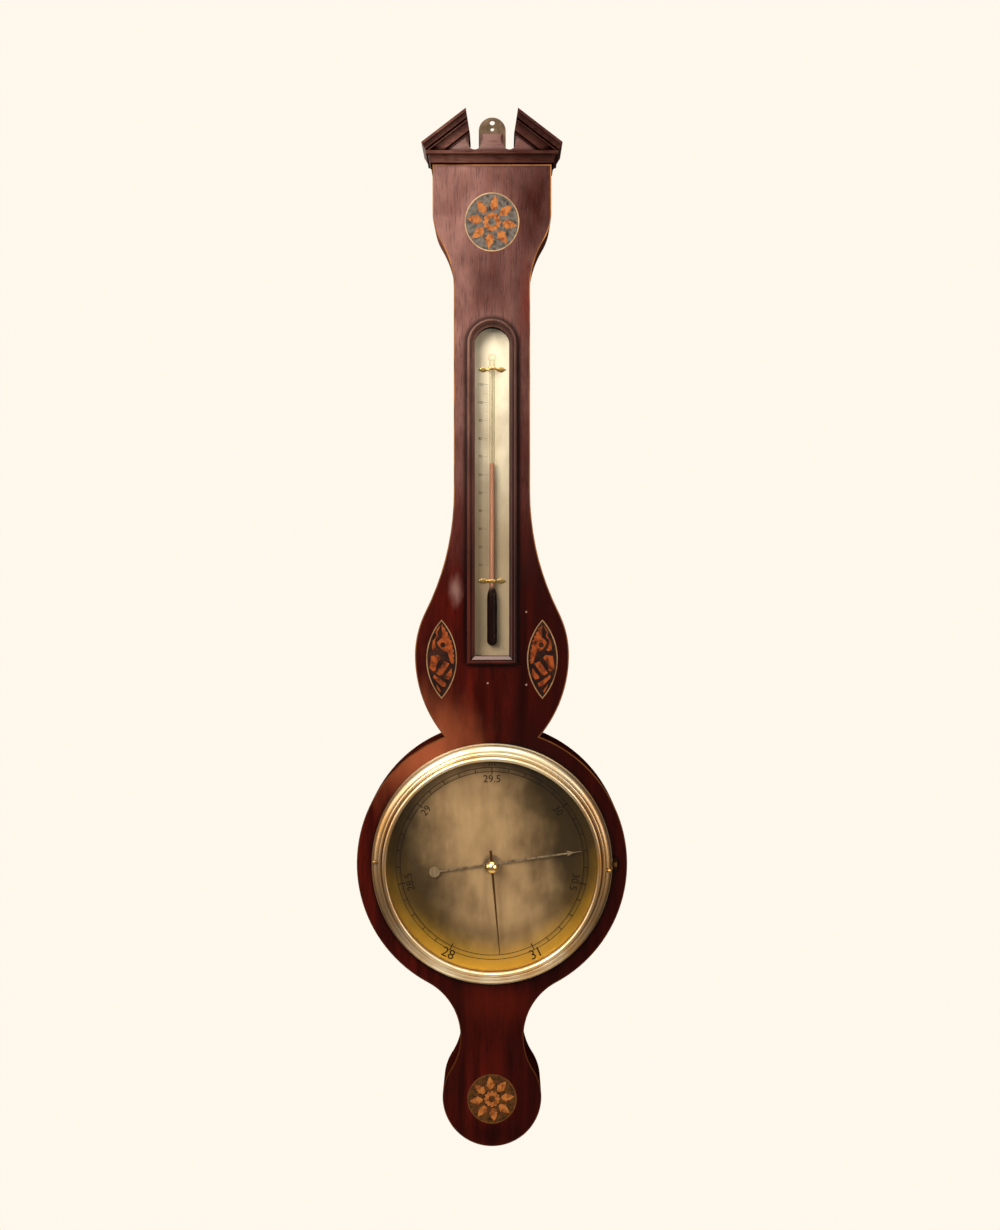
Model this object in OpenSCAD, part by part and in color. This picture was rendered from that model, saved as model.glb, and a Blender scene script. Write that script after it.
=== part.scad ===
// Wheel barometer in a mahogany banjo case: siphon tube, float and pulley behind a round dial,
// hinged bezel with a set hand, boxed thermometer, and a broken pediment over the head.
// Millimetres, +Z up, the front faces -Y. The back of the case is the plane y = 0 and the origin is
// the centre of the hanging hole on that plane. Heights named "rise" or "drop" start at the dial's centre.

/* [Case outline] */
// Height of the hanging hole above the dial's centre
hang_rise = 704; // [700:0.5:712]
// Radius of the round body that holds the dial
dial_body_r = 126; // [122:0.5:132]
// Radius of the round foot
foot_r = 46; // [43:0.5:52]
// Half width of the neck between dial and foot
neck_half = 29.4; // [28.5:0.1:33]
// Radius of the hollow curve on each side of that neck
neck_r = 57; // [52:0.5:62]
// Half width of the swelling above the dial
bulb_half = 71.8; // [69:0.2:76]
// Height of the widest part of the swelling above the dial's centre
bulb_rise = 194; // [190:0.5:200]
// Radius of the swelling's lower curve
bulb_low_r = 118; // [112:0.5:126]
// Radius of the swelling's upper curve
bulb_high_r = 90; // [84:0.5:98]
// Radius of the hollow curve between swelling and trunk
waist_r = 250; // [235:1:265]
// Half width of the straight trunk
trunk_half = 35.6; // [34.5:0.1:38]
// Height where the trunk starts to open out into the head
shoulder_rise = 536; // [530:0.5:542]
// Radius of the hollow curve under the head
shoulder_r = 87; // [80:0.5:94]
// Radius of the round corner of the head
corner_r = 52; // [46:0.5:58]
// Half width of the head
head_half = 55.4; // [53:0.2:60]
// Height of the top of the head above the dial's centre
head_rise = 651.5; // [650:0.5:656]

/* [Case depth] */
// Thickness of the carcass behind the veneer
carcass_t = 42; // [41.5:0.1:46]
// Thickness of the front veneer
veneer_t = 1.5; // [1.2:0.1:2]
// Width of the light stringing along the front edges
string_w = 1; // [0.8:0.1:3]
// Depth of the mechanism's cavity from the back
cavity_d = 24; // [23.5:0.1:26]
// Half width of the mechanism's cavity
cavity_half = 40; // [36:0.5:42]
// Height of the cavity above the dial's centre
cavity_rise = 45; // [40:0.5:46]
// Depth of the cavity below the dial's centre
cavity_drop = 62; // [58:0.5:63]
// Depth of the tube's channel from the back
channel_d = 19; // [18.6:0.1:20]
// Thickness of the two screwed back covers
cover_t = 4; // [3:0.1:4.5]
// Width of the ledge that a cover rests on
ledge_w = 4.5; // [4:0.1:5.4]

/* [Pediment] */
// Height of the horizontal cornice
cornice_h = 11.5; // [10:0.1:13]
// Projection of the horizontal cornice past the head
cornice_out = 6; // [4:0.1:8]
// Slope of the raking cornices, in degrees
rake_a = 37.5; // [34:0.5:41]
// Thickness of the raking cornices, square to the slope
rake_t = 18.5; // [16:0.1:20]
// Projection of the raking cornices past the head
rake_out = 10; // [8:0.1:13]
// Height of the raking cornice's outer corner above the horizontal cornice
rake_foot = 6.5; // [5:0.1:8]
// Half width of the break between the raking cornices, at their tips
break_half = 24.2; // [22.5:0.1:26]
// Thickness of the tympanum board
tympanum_t = 26; // [16:0.5:30]
// Height of the plinth in the middle of the break
plinth_h = 17; // [14:0.1:19]
// Distance of the slots beside the plinth from the centre line
slot_x = 16.2; // [15.6:0.1:17]
// Half width of those slots
slot_half = 5.7; // [5:0.1:6]
// Radius of the hollow that opens each slot towards the front
slot_hollow_r = 8.5; // [7.5:0.1:9]

/* [Hanging plate] */
// Width of the brass plate
hanger_w = 26; // [22:0.5:28]
// Thickness of the brass plate
hanger_t = 2.5; // [2:0.1:3]
// Radius of the hanging hole
hang_hole_r = 2.5; // [2:0.1:3.2]
// Radius of the smaller hole below it
second_hole_r = 1.8; // [1.4:0.1:2.4]
// Distance down to that smaller hole
second_hole_drop = 6.4; // [5.8:0.1:8]
// Length of the plate below the top of the head
tang_l = 58; // [50:0.5:66]

/* [Inlay] */
// Half width of the oval flower on the head
flower_half_w = 25.5; // [23:0.5:28]
// Half height of the oval flower on the head
flower_half_h = 27.5; // [25:0.5:30]
// Height of that flower above the dial's centre
flower_rise = 598; // [590:0.5:606]
// Radius of the round flower on the foot
foot_flower_r = 23; // [20:0.5:26]
// Distance of that flower below the middle of the foot
foot_flower_drop = 2; // [0:0.1:4]
// Half width of the pointed ovals with a shell
shell_half_w = 14.3; // [13:0.1:16]
// Half height of the pointed ovals with a shell
shell_half_h = 37; // [34:0.5:40]
// Distance of the ovals from the centre line
shell_x = 47; // [45:0.2:49]
// Distance of the ovals' middles below the widest part of the swelling
shell_drop = 3.6; // [0:0.1:6]
// Width of the light rim round each inlay
rim_w = 1; // [0.8:0.1:2]
// Glue line between inlaid pieces
glue_line = 0.05; // [0.02:0.01:0.1]

/* [Thermometer] */
// Outer width of the moulded frame
frame_w = 47; // [45:0.2:50]
// Width of the frame's moulding
frame_mould_w = 7.5; // [6.5:0.1:8.5]
// Height of the frame's moulding above the veneer
frame_mould_h = 5.5; // [4:0.1:8]
// Height of the frame's lower edge above the dial's centre
frame_foot_rise = 186; // [182:0.5:190]
// Height of the arch's spring line above the dial's centre
frame_spring_rise = 484; // [478:0.5:490]
// Depth of the recess behind the frame, from the front of the veneer
recess_d = 16; // [15.5:0.1:17]
// Lap of the frame over the recess's edge
frame_lap = 4; // [3:0.1:4.5]
// Wall of the thermometer box
box_wall = 2.5; // [2:0.1:3]
// Thickness of the thermometer's glass pane
pane_t = 2; // [1.5:0.1:2.2]
// Thickness of the silvered scale
scale_t = 1.2; // [0.8:0.1:1.5]
// Radius of the thermometer's glass stem
stem_r = 2.5; // [2:0.1:2.8]
// Radius of the thermometer's bulb
bulb_r = 4.75; // [4:0.05:4.9]
// Length of the thermometer's bulb
bulb_l = 56; // [50:0.5:60]
// Distance of the stem's top below the arch's spring line
stem_gap = 14; // [10:0.5:20]
// Height of the spirit in the stem above the bulb
spirit_l = 116; // [40:1:180]

/* [Dial] */
// Lap of the bezel's lip over the dial plate
dial_lap = 4.3; // [4:0.1:4.8]
// Thickness of the dial plate
dial_t = 1.6; // [1.2:0.1:2]
// Depth of the dial's recess in the carcass
dial_recess_d = 0.5; // [0.3:0.1:1]
// Distance of the index hand's tip from the dial's edge
index_in = 16.6; // [12:0.1:28]
// Length of the index hand's tail
tail_l = 54; // [44:0.5:60]
// Direction of the index hand, in degrees clockwise from the top
index_a = 82; // [-150:1:150]
// Distance of the set hand's tip from the dial's edge
set_in = 18.6; // [14:0.1:30]
// Direction of the set hand, in degrees clockwise from the top
set_a = 175; // [-180:1:180]
// Thickness of both hands
hand_t = 0.8; // [0.6:0.1:1]

/* [Bezel] */
// Width of the wood left round the brass bezel
bezel_margin = 14; // [12.5:0.1:16]
// Width of the bezel from its edge to its lip
bezel_w = 14.7; // [14.2:0.1:15.5]
// Height of the bezel
bezel_h = 15.5; // [15:0.1:17]
// Thickness of the dial's glass
glass_t = 2.2; // [2:0.1:2.6]
// Radius of the knuckles of the bezel's hinge
knuckle_r = 2; // [1.8:0.1:2.4]
// Radius of the knob of the set hand
knob_r = 5.5; // [4.5:0.1:6.5]

/* [Mechanism] */
// Radius at which the threads leave the pulley
thread_rad = 7.1; // [6.8:0.05:7.6]
// Thickness of the silk threads
thread_d = 0.5; // [0.4:0.05:0.6]
// Radius of the index arbor
arbor_r = 1.5; // [1.2:0.05:1.8]
// Radius of the arbor's rear pivot
pivot_r = 0.8; // [0.6:0.05:1]
// Distance of the middle of the pulley and the tube from the back of the case
wheel_d = 12; // [11.8:0.1:12.3]
// Outer radius of the siphon tube
tube_r = 4.2; // [4:0.05:4.4]
// Wall of the siphon tube
tube_wall = 1; // [0.8:0.05:1.1]
// Distance between the two limbs of the tube
limb_gap = 10.4; // [10.2:0.1:11]
// Depth of the mercury's lower surface below the dial's centre
mercury_drop = 145; // [140:0.5:150]
// Height of the mercury in the long limb above its lower surface
mercury_h = 769; // [750:1:772]
// Depth of the middle of the tube's bend below the lower surface
bend_drop = 25; // [22:0.5:27]
// Length of the float
float_l = 12; // [10:0.5:14]
// Length of the counterweight
weight_l = 15; // [12:0.5:18]
// Depth of the counterweight's top below the dial's centre
weight_drop = 60; // [55:0.5:64]

/* [Back door] */
// Half width of the door behind the dial
door_half = 46; // [45:0.5:50]
// Thickness of the door
door_t = 5; // [4:0.1:5.2]
// Margin of the door round the cavity, above and below
door_margin = 5; // [4:0.1:8]
// Radius of the door's knuckles
door_knuckle_r = 1.9; // [1.6:0.1:2]
// Length of each door hinge
door_hinge_l = 24; // [20:0.5:30]
// Length of the turn button
button_l = 22; // [20:0.5:26]
// Width of the turn button
button_w = 8; // [6:0.5:10]

/* [Fits] */
// Radial clearance of a turning fit
run_fit = 0.05; // [0.02:0.01:0.1]
// Radial clearance of a fixed fit
fixed_fit = 0.02; // [0.01:0.01:0.05]
// Gap between parts that pass each other
pass_gap = 0.3; // [0.2:0.05:0.5]
// Gap round a door or cover in its rebate
edge_gap = 0.4; // [0.3:0.05:0.8]

/* [Hidden] */

$fn = 64;
// Distance that a cut runs past the face it opens
over = 0.5;
// Angle between the points of a drawn arc
arc_step = 3;
// Front of the veneer
front_y = -(carcass_t + veneer_t);
// Half turn
turn = 180;

// Screws: shank radius, head radius, head height, length
wood_shank_r = 1.5;
wood_head_r = 3;
wood_head_h = 1.6;
wood_screw_l = 12;
wood_screw = [wood_shank_r, wood_head_r, wood_head_h, wood_screw_l];
fine_shank_r = 0.9;
fine_head_r = 1.7;
fine_head_h = 0.8;
fine_screw_l = 5;
fine_screw = [fine_shank_r, fine_head_r, fine_head_h, fine_screw_l];
scale_screw_l = 3.2;
scale_screw = [fine_shank_r, fine_head_r, fine_head_h, scale_screw_l];
cock_screw_l = 3.8;
cock_screw = [fine_shank_r, fine_head_r, fine_head_h, cock_screw_l];

// Centres of the outline's arcs, each tangent to the next
neck_cx = neck_half + neck_r;
neck_c = [neck_cx, -sqrt(pow(dial_body_r + neck_r, 2) - pow(neck_cx, 2))];
foot_c = [0, neck_c.y - sqrt(pow(foot_r + neck_r, 2) - pow(neck_cx, 2))];
low_c = [bulb_half - bulb_low_r, bulb_rise];
high_c = [bulb_half - bulb_high_r, bulb_rise];
waist_cx = trunk_half + waist_r;
waist_c = [waist_cx, bulb_rise + sqrt(pow(bulb_high_r + waist_r, 2) - pow(waist_cx - high_c.x, 2))];
shoulder_c = [trunk_half + shoulder_r, shoulder_rise];
corner_cx = head_half - corner_r;
corner_c = [corner_cx,
    shoulder_rise + sqrt(pow(shoulder_r + corner_r, 2) - pow(shoulder_c.x - corner_cx, 2))];

// Middles of the foot's flower and of the ovals
foot_flower_c = foot_c - [0, foot_flower_drop];
shell_z = bulb_rise - shell_drop;

// Bezel and dial, set in from the round body
bezel_r = dial_body_r - bezel_margin;
bezel_lip_r = bezel_r - bezel_w;
dial_r = bezel_lip_r + dial_lap;
index_l = dial_r - index_in;
set_l = dial_r - set_in;

// Heights of the pediment, from the dial's centre
cornice_top = head_rise + cornice_h;
rake_corner = [head_half + rake_out, cornice_top + rake_foot];
rake_tip_z = rake_corner.y + (rake_corner.x - break_half) * tan(rake_a);
// Lean of the raking cornice's inner end, in degrees from upright
rake_end_lean = 10;
// Slots beside the plinth: wood under them, and the depth, height and inner radius of their front hollows
slot_under = 2.6;
slot_hollow_d = 9;
slot_hollow_up = 12.5;
slot_hollow_in = 4;
// Back of the pediment, in front of the hanging plate
pediment_back = -hanger_t;
// Upright thickness of the raking cornice
rake_upright = rake_t / cos(rake_a);

// Places along the depth of the case
wheel_y = -wheel_d;
dial_floor_y = -(carcass_t - dial_recess_d);
dial_face_y = dial_floor_y - dial_t;
cavity_floor_y = -cavity_d;
cover_back_y = -hanger_t;
recess_floor_y = front_y + recess_d;

// Siphon tube: the float's limb hangs under the pulley's edge
bend_r = limb_gap / 2;
short_x = thread_rad;
long_x = thread_rad + limb_gap;
tube_bore_r = tube_r - tube_wall;
bend_z = -(mercury_drop + bend_drop);
tube_room = 0.8;
// Room for the vacuum above the mercury
vacuum_l = 20;
tube_top = mercury_h - mercury_drop + vacuum_l;
// Height of the open end above the mercury
open_end_l = 50;

// Channels: left, right, bottom and top edges
bend_under = 5;
trunk_channel = [long_x - tube_r - tube_room, long_x + tube_r + tube_room,
    cavity_rise - over, tube_top + tube_room];
foot_channel = [short_x - tube_r - tube_room, long_x + tube_r + tube_room,
    bend_z - bend_r - tube_r - bend_under, over - cavity_drop];
weight_r = 2.4;
weight_edge = 0.8;
weight_room = 2.4;
float_room = 0.5;
// Rise of the float and fall of the weight, and room below the weight's lowest place
float_up = 29.4;
weight_under = 6;
weight_channel = [-thread_rad - weight_r - weight_room, short_x,
    -(weight_drop + weight_l + float_up + weight_under), over - cavity_drop];

// Door and covers: left, right, bottom and top edges
door_box = [-door_half, door_half, -(cavity_drop + door_margin), cavity_rise + door_margin];
// Wood under the trunk cover's upper edge, and narrower ledges beside the foot cover
cover_top_lap = 3;
foot_ledge_w = ledge_w - 1;
trunk_cover_box = [trunk_channel[0] - ledge_w, trunk_channel[1] + ledge_w,
    door_box[3] + 2 * edge_gap, trunk_channel[3] + cover_top_lap];
foot_cover_box = [weight_channel[0] - foot_ledge_w, foot_channel[1] + foot_ledge_w,
    foot_channel[2] - ledge_w, door_box[2] - 2 * edge_gap];
// Places of the cover screws; the trunk's upper pair stays clear of the hanging plate
cover_screw_in = 1.9;
cover_screw_end = 10;
tang_gap = 13.5;
trunk_screw_low = trunk_cover_box[2] + 2 * cover_screw_end;
trunk_screw_high = head_rise - tang_l - tang_gap;
trunk_screw_rows = 4;
trunk_screw_ps = [for (x = [trunk_cover_box[0] + cover_screw_in, trunk_cover_box[1] - cover_screw_in],
    k = [0:trunk_screw_rows - 1])
    [x, trunk_screw_low + (trunk_screw_high - trunk_screw_low) * k / (trunk_screw_rows - 1)]];
foot_screw_ps = [for (x = [foot_cover_box[0] + cover_screw_in, foot_cover_box[1] - cover_screw_in],
    z = [foot_cover_box[2] + cover_screw_end, foot_cover_box[3] - cover_screw_end]) [x, z]];

// Door hinges
door_sink = 0.1;
door_axis = [-door_half - pass_gap, -door_knuckle_r - door_sink];
door_rim_gap = 2.6;
door_hinge_in = 26;
door_hinge_zs = [door_box[2] + door_hinge_in, door_box[3] - door_hinge_in];
door_leaf_w = 10;
door_leaf_t = 1.2;
door_leaf_sink = 0.3;
door_pin_r = 0.8;
door_middle_l = 8;

// Turn button in its round pocket beside the door
button_gap = 3.6;
button_x = door_half + edge_gap + button_w / 2 + button_gap;
button_z = (door_box[2] + door_box[3]) / 2;
button_t = 2.5;
button_sink = 0.2;

// Bezel and what it holds, as heights above the veneer
bezel_lip_h = 3.9;
glass_seat_h = bezel_h - bezel_lip_h;
glass_lap = 1.9;
glass_r = bezel_lip_r + glass_lap;
glass_back_h = glass_seat_h - glass_t;
retainer_t = 1.8;
spindle_r = 2;
set_boss_r = 4;
washer_t = 0.5;
// Set hand: its tail, half widths and fixing nut; knob: its neck, flare, rim and dome
set_tail_l = 14;
set_half = 1.2;
set_tip_half = 0.35;
set_nut_r = 3;
set_nut_t = 1.2;
set_pin_out = 1.4;
knob_neck_r = 3.4;
knob_neck_h = 1.2;
knob_flare_h = 1;
knob_rim_h = 2.4;
knob_dome = 3;
set_hand_h = glass_back_h - washer_t - 2 * run_fit;
bezel_axis_gap = 0.6;
bezel_axis = [bezel_r + knuckle_r + bezel_axis_gap, front_y - pass_gap - knuckle_r];
bezel_knuckle_l = 10;
bezel_middle_l = 3.6;
bezel_pin_r = 0.9;
// Leaf let in under the bezel's flange, its post, and the webs of the bezel's own knuckles
bezel_leaf_in = 8;
leaf_post_half = 1;
leaf_post_edge = 0.6;
web_lap = 2;
web_sink = 0.4;
// Flange, swelling, middle bead and lip bead of the bezel, and the studs that stand on the swelling
flange_h = 1.6;
flange_lip = 0.8;
swell_w = 5.4;
swell_h = 7.8;
quirk_w = 0.5;
bead_r = 1.7;
lip_bead_r = 2.1;
catch_r = 1.5;
catch_head_r = 2;
catch_bar_r = 0.8;
catch_bar_l = 2.8;
// Slope of the line through both studs, in degrees
catch_turn = 2.1;
catch_p = [bezel_r - flange_lip - swell_w / 2, 0];
catch_seat_h = flange_h + swell_h + pass_gap;
set_pin_r = 1.2;

// Thermometer
// Frame moulding: its inner fillet, its bead and the rim outside the bead
frame_fillet = 1.6;
frame_bead_r = 1.3;
frame_rim_w = 0.6;
opening_half = frame_w / 2 - frame_mould_w;
recess_half = frame_w / 2 - frame_lap;
bulb_rest = 16;
// Length of the bulb's tapering shoulder
bulb_shoulder = 12;
bulb_foot_z = frame_foot_rise + bulb_rest;
stem_foot_z = bulb_foot_z + bulb_l;
stem_top_z = frame_spring_rise - stem_gap;
scale_face_y = recess_floor_y - box_wall - scale_t;
stem_y = scale_face_y - bulb_r - pass_gap;
stem_bore_r = 0.7;
// Solid glass above the bore, and the loop melted onto it
stem_seal = 6;
loop_r = 2.8;
loop_rod_r = 1.1;
loop_sink = 0.4;
bulb_wall = 0.8;
clip_low_gap = 5;
clip_high_gap = 8;
clip_zs = [stem_foot_z + clip_low_gap, stem_top_z - clip_high_gap];
clip_half = 13;
clip_w = 6;
clip_t = 0.8;
scale_screw_x = 11;
scale_screw_low = 14;
scale_screw_high = 2;
scale_screw_ps = [for (x = [-1, 1],
    z = [frame_foot_rise + scale_screw_low, frame_spring_rise + scale_screw_high]) [x * scale_screw_x, z]];

// Places of other screws
hanger_screw_in = 12;
hanger_screw_step = 18;
hanger_screw_ps = [for (k = [0:2]) [0, head_rise - hanger_screw_in - hanger_screw_step * k]];
dial_screw_in = 2;
dial_screw_ps = [for (a = [45:90:315]) (dial_r - dial_screw_in) * [cos(a), sin(a)]];
// Plate on the cavity's floor and the bracket on it that carries the arbor's rear end
plate_half_w = 16;
plate_half_h = 26;
plate_t = 2;
plate_screw_in = 3.2;
plate_screw_ps = [for (x = [-1, 1], z = [-1, 1])
    [x * (plate_half_w - plate_screw_in), z * (plate_half_h - plate_screw_in)]];
cock_half = 10;
cock_post_half = 4;
cock_post_t = 5;
cock_foot_z = 13;
cock_foot_h = 12;
cock_foot_t = 2;
cock_screw_x = 7;
cock_screw_in = 3.4;
cock_screw_z = cock_foot_z + cock_foot_h - cock_screw_in;
cock_screw_ps = [for (x = [-1, 1]) [x * cock_screw_x, cock_screw_z]];
cock_arm_t = 2;
cock_reach = 6;
boss_h = 2;
boss_wall = 2;
cock_back_y = wheel_y + cock_reach;

// Arbor, pulley and index hand
pulley_hub_l = 6;
hub_r = 4;
pulley_t = 3.6;
pulley_lip_t = 0.4;
groove_d = 2;
index_gap = 1.6;
// Index hand: half widths of its blade, point and tail, and radii of its discs and ring
blade_half = 1.1;
point_half = 2.6;
point_l = 14.5;
tip_l = 8.5;
tip_half = 0.45;
tail_half = 0.9;
tail_disc_r = 5;
hand_disc_r = 5.5;
hand_ring_r = 8.5;
hand_ring_w = 1.2;
hand_boss_h = 0.8;
index_y = dial_face_y - index_gap;
// End of the arbor in front of the hand, and room round it in the carcass and the dial
arbor_end = 1;
arbor_room = 3;
dial_hole_room = 2;
arbor_l = cock_back_y + pass_gap - (index_y - hand_t - arbor_end);

// Cork pads under the tube
pad_h = 14;
pad_low_in = 35;
pad_high_in = 38;
pad_low = cavity_rise + pad_low_in;
pad_high = tube_top - pad_high_in;
pads = 5;
pad_zs = [for (k = [0:pads - 1]) pad_low + (pad_high - pad_low) * k / (pads - 1)];
foot_pad_up = 5;
foot_pad_z = foot_pad_up - mercury_drop;

// Height of the hanging plate above its hole
hanger_top = 5;

function heading(a, b) = atan2(b.y - a.y, b.x - a.x);

// Points of an arc; the first one is left out where the arc goes on from another
function arc(c, r, a0, a1, first = 1, step = arc_step) =
    let (n = ceil(abs(a1 - a0) / step))
    [for (k = [first:n]) let (a = a0 + (a1 - a0) * k / n) c + r * [cos(a), sin(a)]];

// Right-hand meeting point of a circle round the dial's centre with another circle
function meet(c, r, other_r) =
    let (d = norm(c), u = c / d, m = (d * d + r * r - other_r * other_r) / (2 * d))
    m * u + sqrt(r * r - m * m) * [u.y, -u.x];

// Right half of the case's outline, set in by a distance
function half_outline(inset) =
    let (
        foot_turn = heading(foot_c, neck_c),
        dial_turn = heading([0, 0], neck_c),
        notch = meet(low_c, dial_body_r - inset, bulb_low_r - inset),
        waist_turn = heading(high_c, waist_c),
        head_turn = heading(corner_c, shoulder_c)
    )
    concat(
        arc(foot_c, foot_r - inset, -90, foot_turn, 0),
        arc(neck_c, neck_r + inset, turn + foot_turn, turn + dial_turn),
        arc([0, 0], dial_body_r - inset, dial_turn, heading([0, 0], notch)),
        arc(low_c, bulb_low_r - inset, heading(low_c, notch), 0),
        arc(high_c, bulb_high_r - inset, 0, waist_turn),
        arc(waist_c, waist_r + inset, turn + waist_turn, turn),
        arc(shoulder_c, shoulder_r + inset, turn, turn + head_turn, 0),
        arc(corner_c, corner_r - inset, head_turn, 0),
        [[head_half - inset, head_rise - inset]]
    );

function outline(inset) =
    let (half = half_outline(inset))
    concat(half, [for (k = [len(half) - 1:-1:1]) [-half[k].x, half[k].y]]);

// Left, right, bottom and top edges of the hinge leaf under the bezel's flange
function bezel_leaf_box() = [bezel_r - bezel_leaf_in, bezel_axis.x + leaf_post_half + leaf_post_edge,
    -bezel_knuckle_l / 2, bezel_knuckle_l / 2];

module from_dial() translate([0, 0, -hang_rise]) children();

// A flat shape drawn in the front view, from the plane y = back towards the viewer
module board(back, t) translate([0, back, 0]) rotate([90, 0, 0]) linear_extrude(t) children();

// A round shape about a front-to-back axis; the profile's height runs towards the viewer
module turned(p, back) translate([p.x, back, p.y]) rotate([90, 0, 0]) rotate_extrude() children();

module rod(p, back, length, r) translate([p.x, back, p.y]) rotate([90, 0, 0]) cylinder(h = length, r = r);

// A rectangle from its left, right, bottom and top edges, grown by a margin
module span(box, margin = 0)
    translate([box[0] - margin, box[2] - margin])
        square([box[1] - box[0] + 2 * margin, box[3] - box[2] + 2 * margin]);

// A countersunk screw with its head flush in a face; out is 1 at the back and -1 at the front
module screw(s, p, face, out)
    translate([p.x, face, p.y]) rotate([-90 * out, 0, 0]) rotate_extrude()
        polygon([[0, -s[3]], [s[0], -s[3]], [s[0], -s[2]], [s[1], 0], [0, 0]]);

module screw_hole(s, p, face, out)
    translate([p.x, face, p.y]) rotate([-90 * out, 0, 0]) rotate_extrude()
        polygon([[0, -s[3] - pass_gap], [s[0] + run_fit, -s[3] - pass_gap], [s[0] + run_fit, -s[2]],
            [s[1] + run_fit, 0], [s[1] + run_fit, over], [0, over]]);

// Arched shape of the thermometer's openings and panes, by half width and lower edge
module arched(half, foot)
    polygon(concat([[-half, foot], [half, foot]], arc([0, frame_spring_rise], half, 0, turn, 0)));

// Outline of the hanging plate with its arched top
module hanger_shape() {
    half = hanger_w / 2;
    foot = head_rise - tang_l;
    polygon(concat([[-half, foot], [half, foot]], arc([0, hang_rise + hanger_top - half], half, 0, turn, 0)));
}

// The case

module case_carcass() color("#6b3020") from_dial() difference() {
    board(0, carcass_t) polygon(outline(0));
    board(over, cavity_d + over) span([-cavity_half, cavity_half, -cavity_drop, cavity_rise]);
    board(over, channel_d + over) span(trunk_channel);
    board(over, channel_d + over) span(foot_channel);
    board(over, channel_d + over) span(weight_channel);
    board(over, door_t + pass_gap + over) span([door_axis.x - door_rim_gap, door_box[1] + edge_gap,
        door_box[2] - edge_gap, door_box[3] + edge_gap]);
    board(over, hanger_t + cover_t + over) span(trunk_cover_box, edge_gap);
    board(over, hanger_t + cover_t + over) span(foot_cover_box, edge_gap);
    board(over, hanger_t + over) offset_hanger();
    board(recess_floor_y, recess_d - veneer_t + over) arched(recess_half, frame_foot_rise + frame_lap);
    rod([0, 0], dial_floor_y, dial_recess_d + over, dial_r + pass_gap);
    rod([0, 0], cavity_floor_y + over, carcass_t, arbor_r + arbor_room);
    for (z = door_hinge_zs)
        board(over, door_leaf_t + door_leaf_sink + over)
            span([door_axis.x - door_leaf_w, door_axis.x, z - door_hinge_l / 2, z + door_hinge_l / 2],
                pass_gap);
    rod([button_x, button_z], over, button_t + button_sink + pass_gap + over, button_l / 2 + pass_gap);
    screw_hole(wood_screw, [button_x, button_z], -button_sink, 1);
    for (p = hanger_screw_ps) screw_hole(wood_screw, p, 0, 1);
    for (p = concat(trunk_screw_ps, foot_screw_ps)) screw_hole(fine_screw, p, cover_back_y, 1);
    for (p = plate_screw_ps) screw_hole(fine_screw, p, cavity_floor_y + plate_t, 1);
    for (p = dial_screw_ps) screw_hole(fine_screw, p, dial_face_y, -1);
}

// Room for the hanging plate in the back of the head
module offset_hanger()
    span([-hanger_w / 2, hanger_w / 2, head_rise - tang_l, head_rise + over], glue_line);

module front_veneer() color("#7a3a26") from_dial() board(-carcass_t, veneer_t) difference() {
    polygon(outline(string_w));
    circle(dial_r + pass_gap);
    arched(recess_half, frame_foot_rise + frame_lap);
    translate([0, flower_rise]) oval(flower_half_w, flower_half_h, glue_line);
    translate(foot_flower_c) circle(foot_flower_r + glue_line);
    for (side = [-1, 1]) translate([side * shell_x, shell_z]) lens(-glue_line);
    span(bezel_leaf_box(), glue_line);
}

module edge_stringing() color("#d9b27c") from_dial() board(-carcass_t, veneer_t) difference() {
    polygon(outline(0));
    polygon(outline(string_w));
}

// The pediment

// Hollow curve of a moulding, from an upright start to a level end
function hollow(p, q) = [for (a = [0:15:90]) [q.x - (q.x - p.x) * cos(a), p.y + (q.y - p.y) * sin(a)]];

// Moulding profiles from the bottom up, in hundredths of their projection and height
cornice_steps = concat([[0, 0], [7, 0], [7, 10], [37, 10]], hollow([37, 30], [90, 74]),
    [[100, 74], [100, 100], [0, 100]]);
rake_steps = concat([[0, 0], [6, 0], [6, 12], [24, 12]], hollow([24, 24], [52, 51]),
    [[59, 51], [59, 56], [52, 56], [52, 65], [67, 65]], hollow([67, 70], [97, 87]),
    [[100, 87], [100, 100], [0, 100]]);

function moulding(steps, out, h) = [for (p = steps) [p.x * out, p.y * h] / 100];

module cornice_moulding() color("#6b3020") from_dial() translate([0, 0, head_rise]) intersection() {
    reach = head_half + 2 * cornice_out;
    profile = moulding(cornice_steps, cornice_out, cornice_h);
    // Moulded along the front
    translate([-reach, 0, 0]) rotate([90, 0, 90]) linear_extrude(2 * reach)
        polygon(concat([[pediment_back, cornice_h], [pediment_back, 0]],
            [for (p = profile) [front_y - p.x, p.y]]));
    // Moulded along both sides
    board(over, carcass_t + reach)
        polygon(concat([for (p = profile) [head_half + p.x, p.y]],
            [for (k = [len(profile) - 1:-1:0]) [-head_half - profile[k].x, profile[k].y]]));
}

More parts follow.
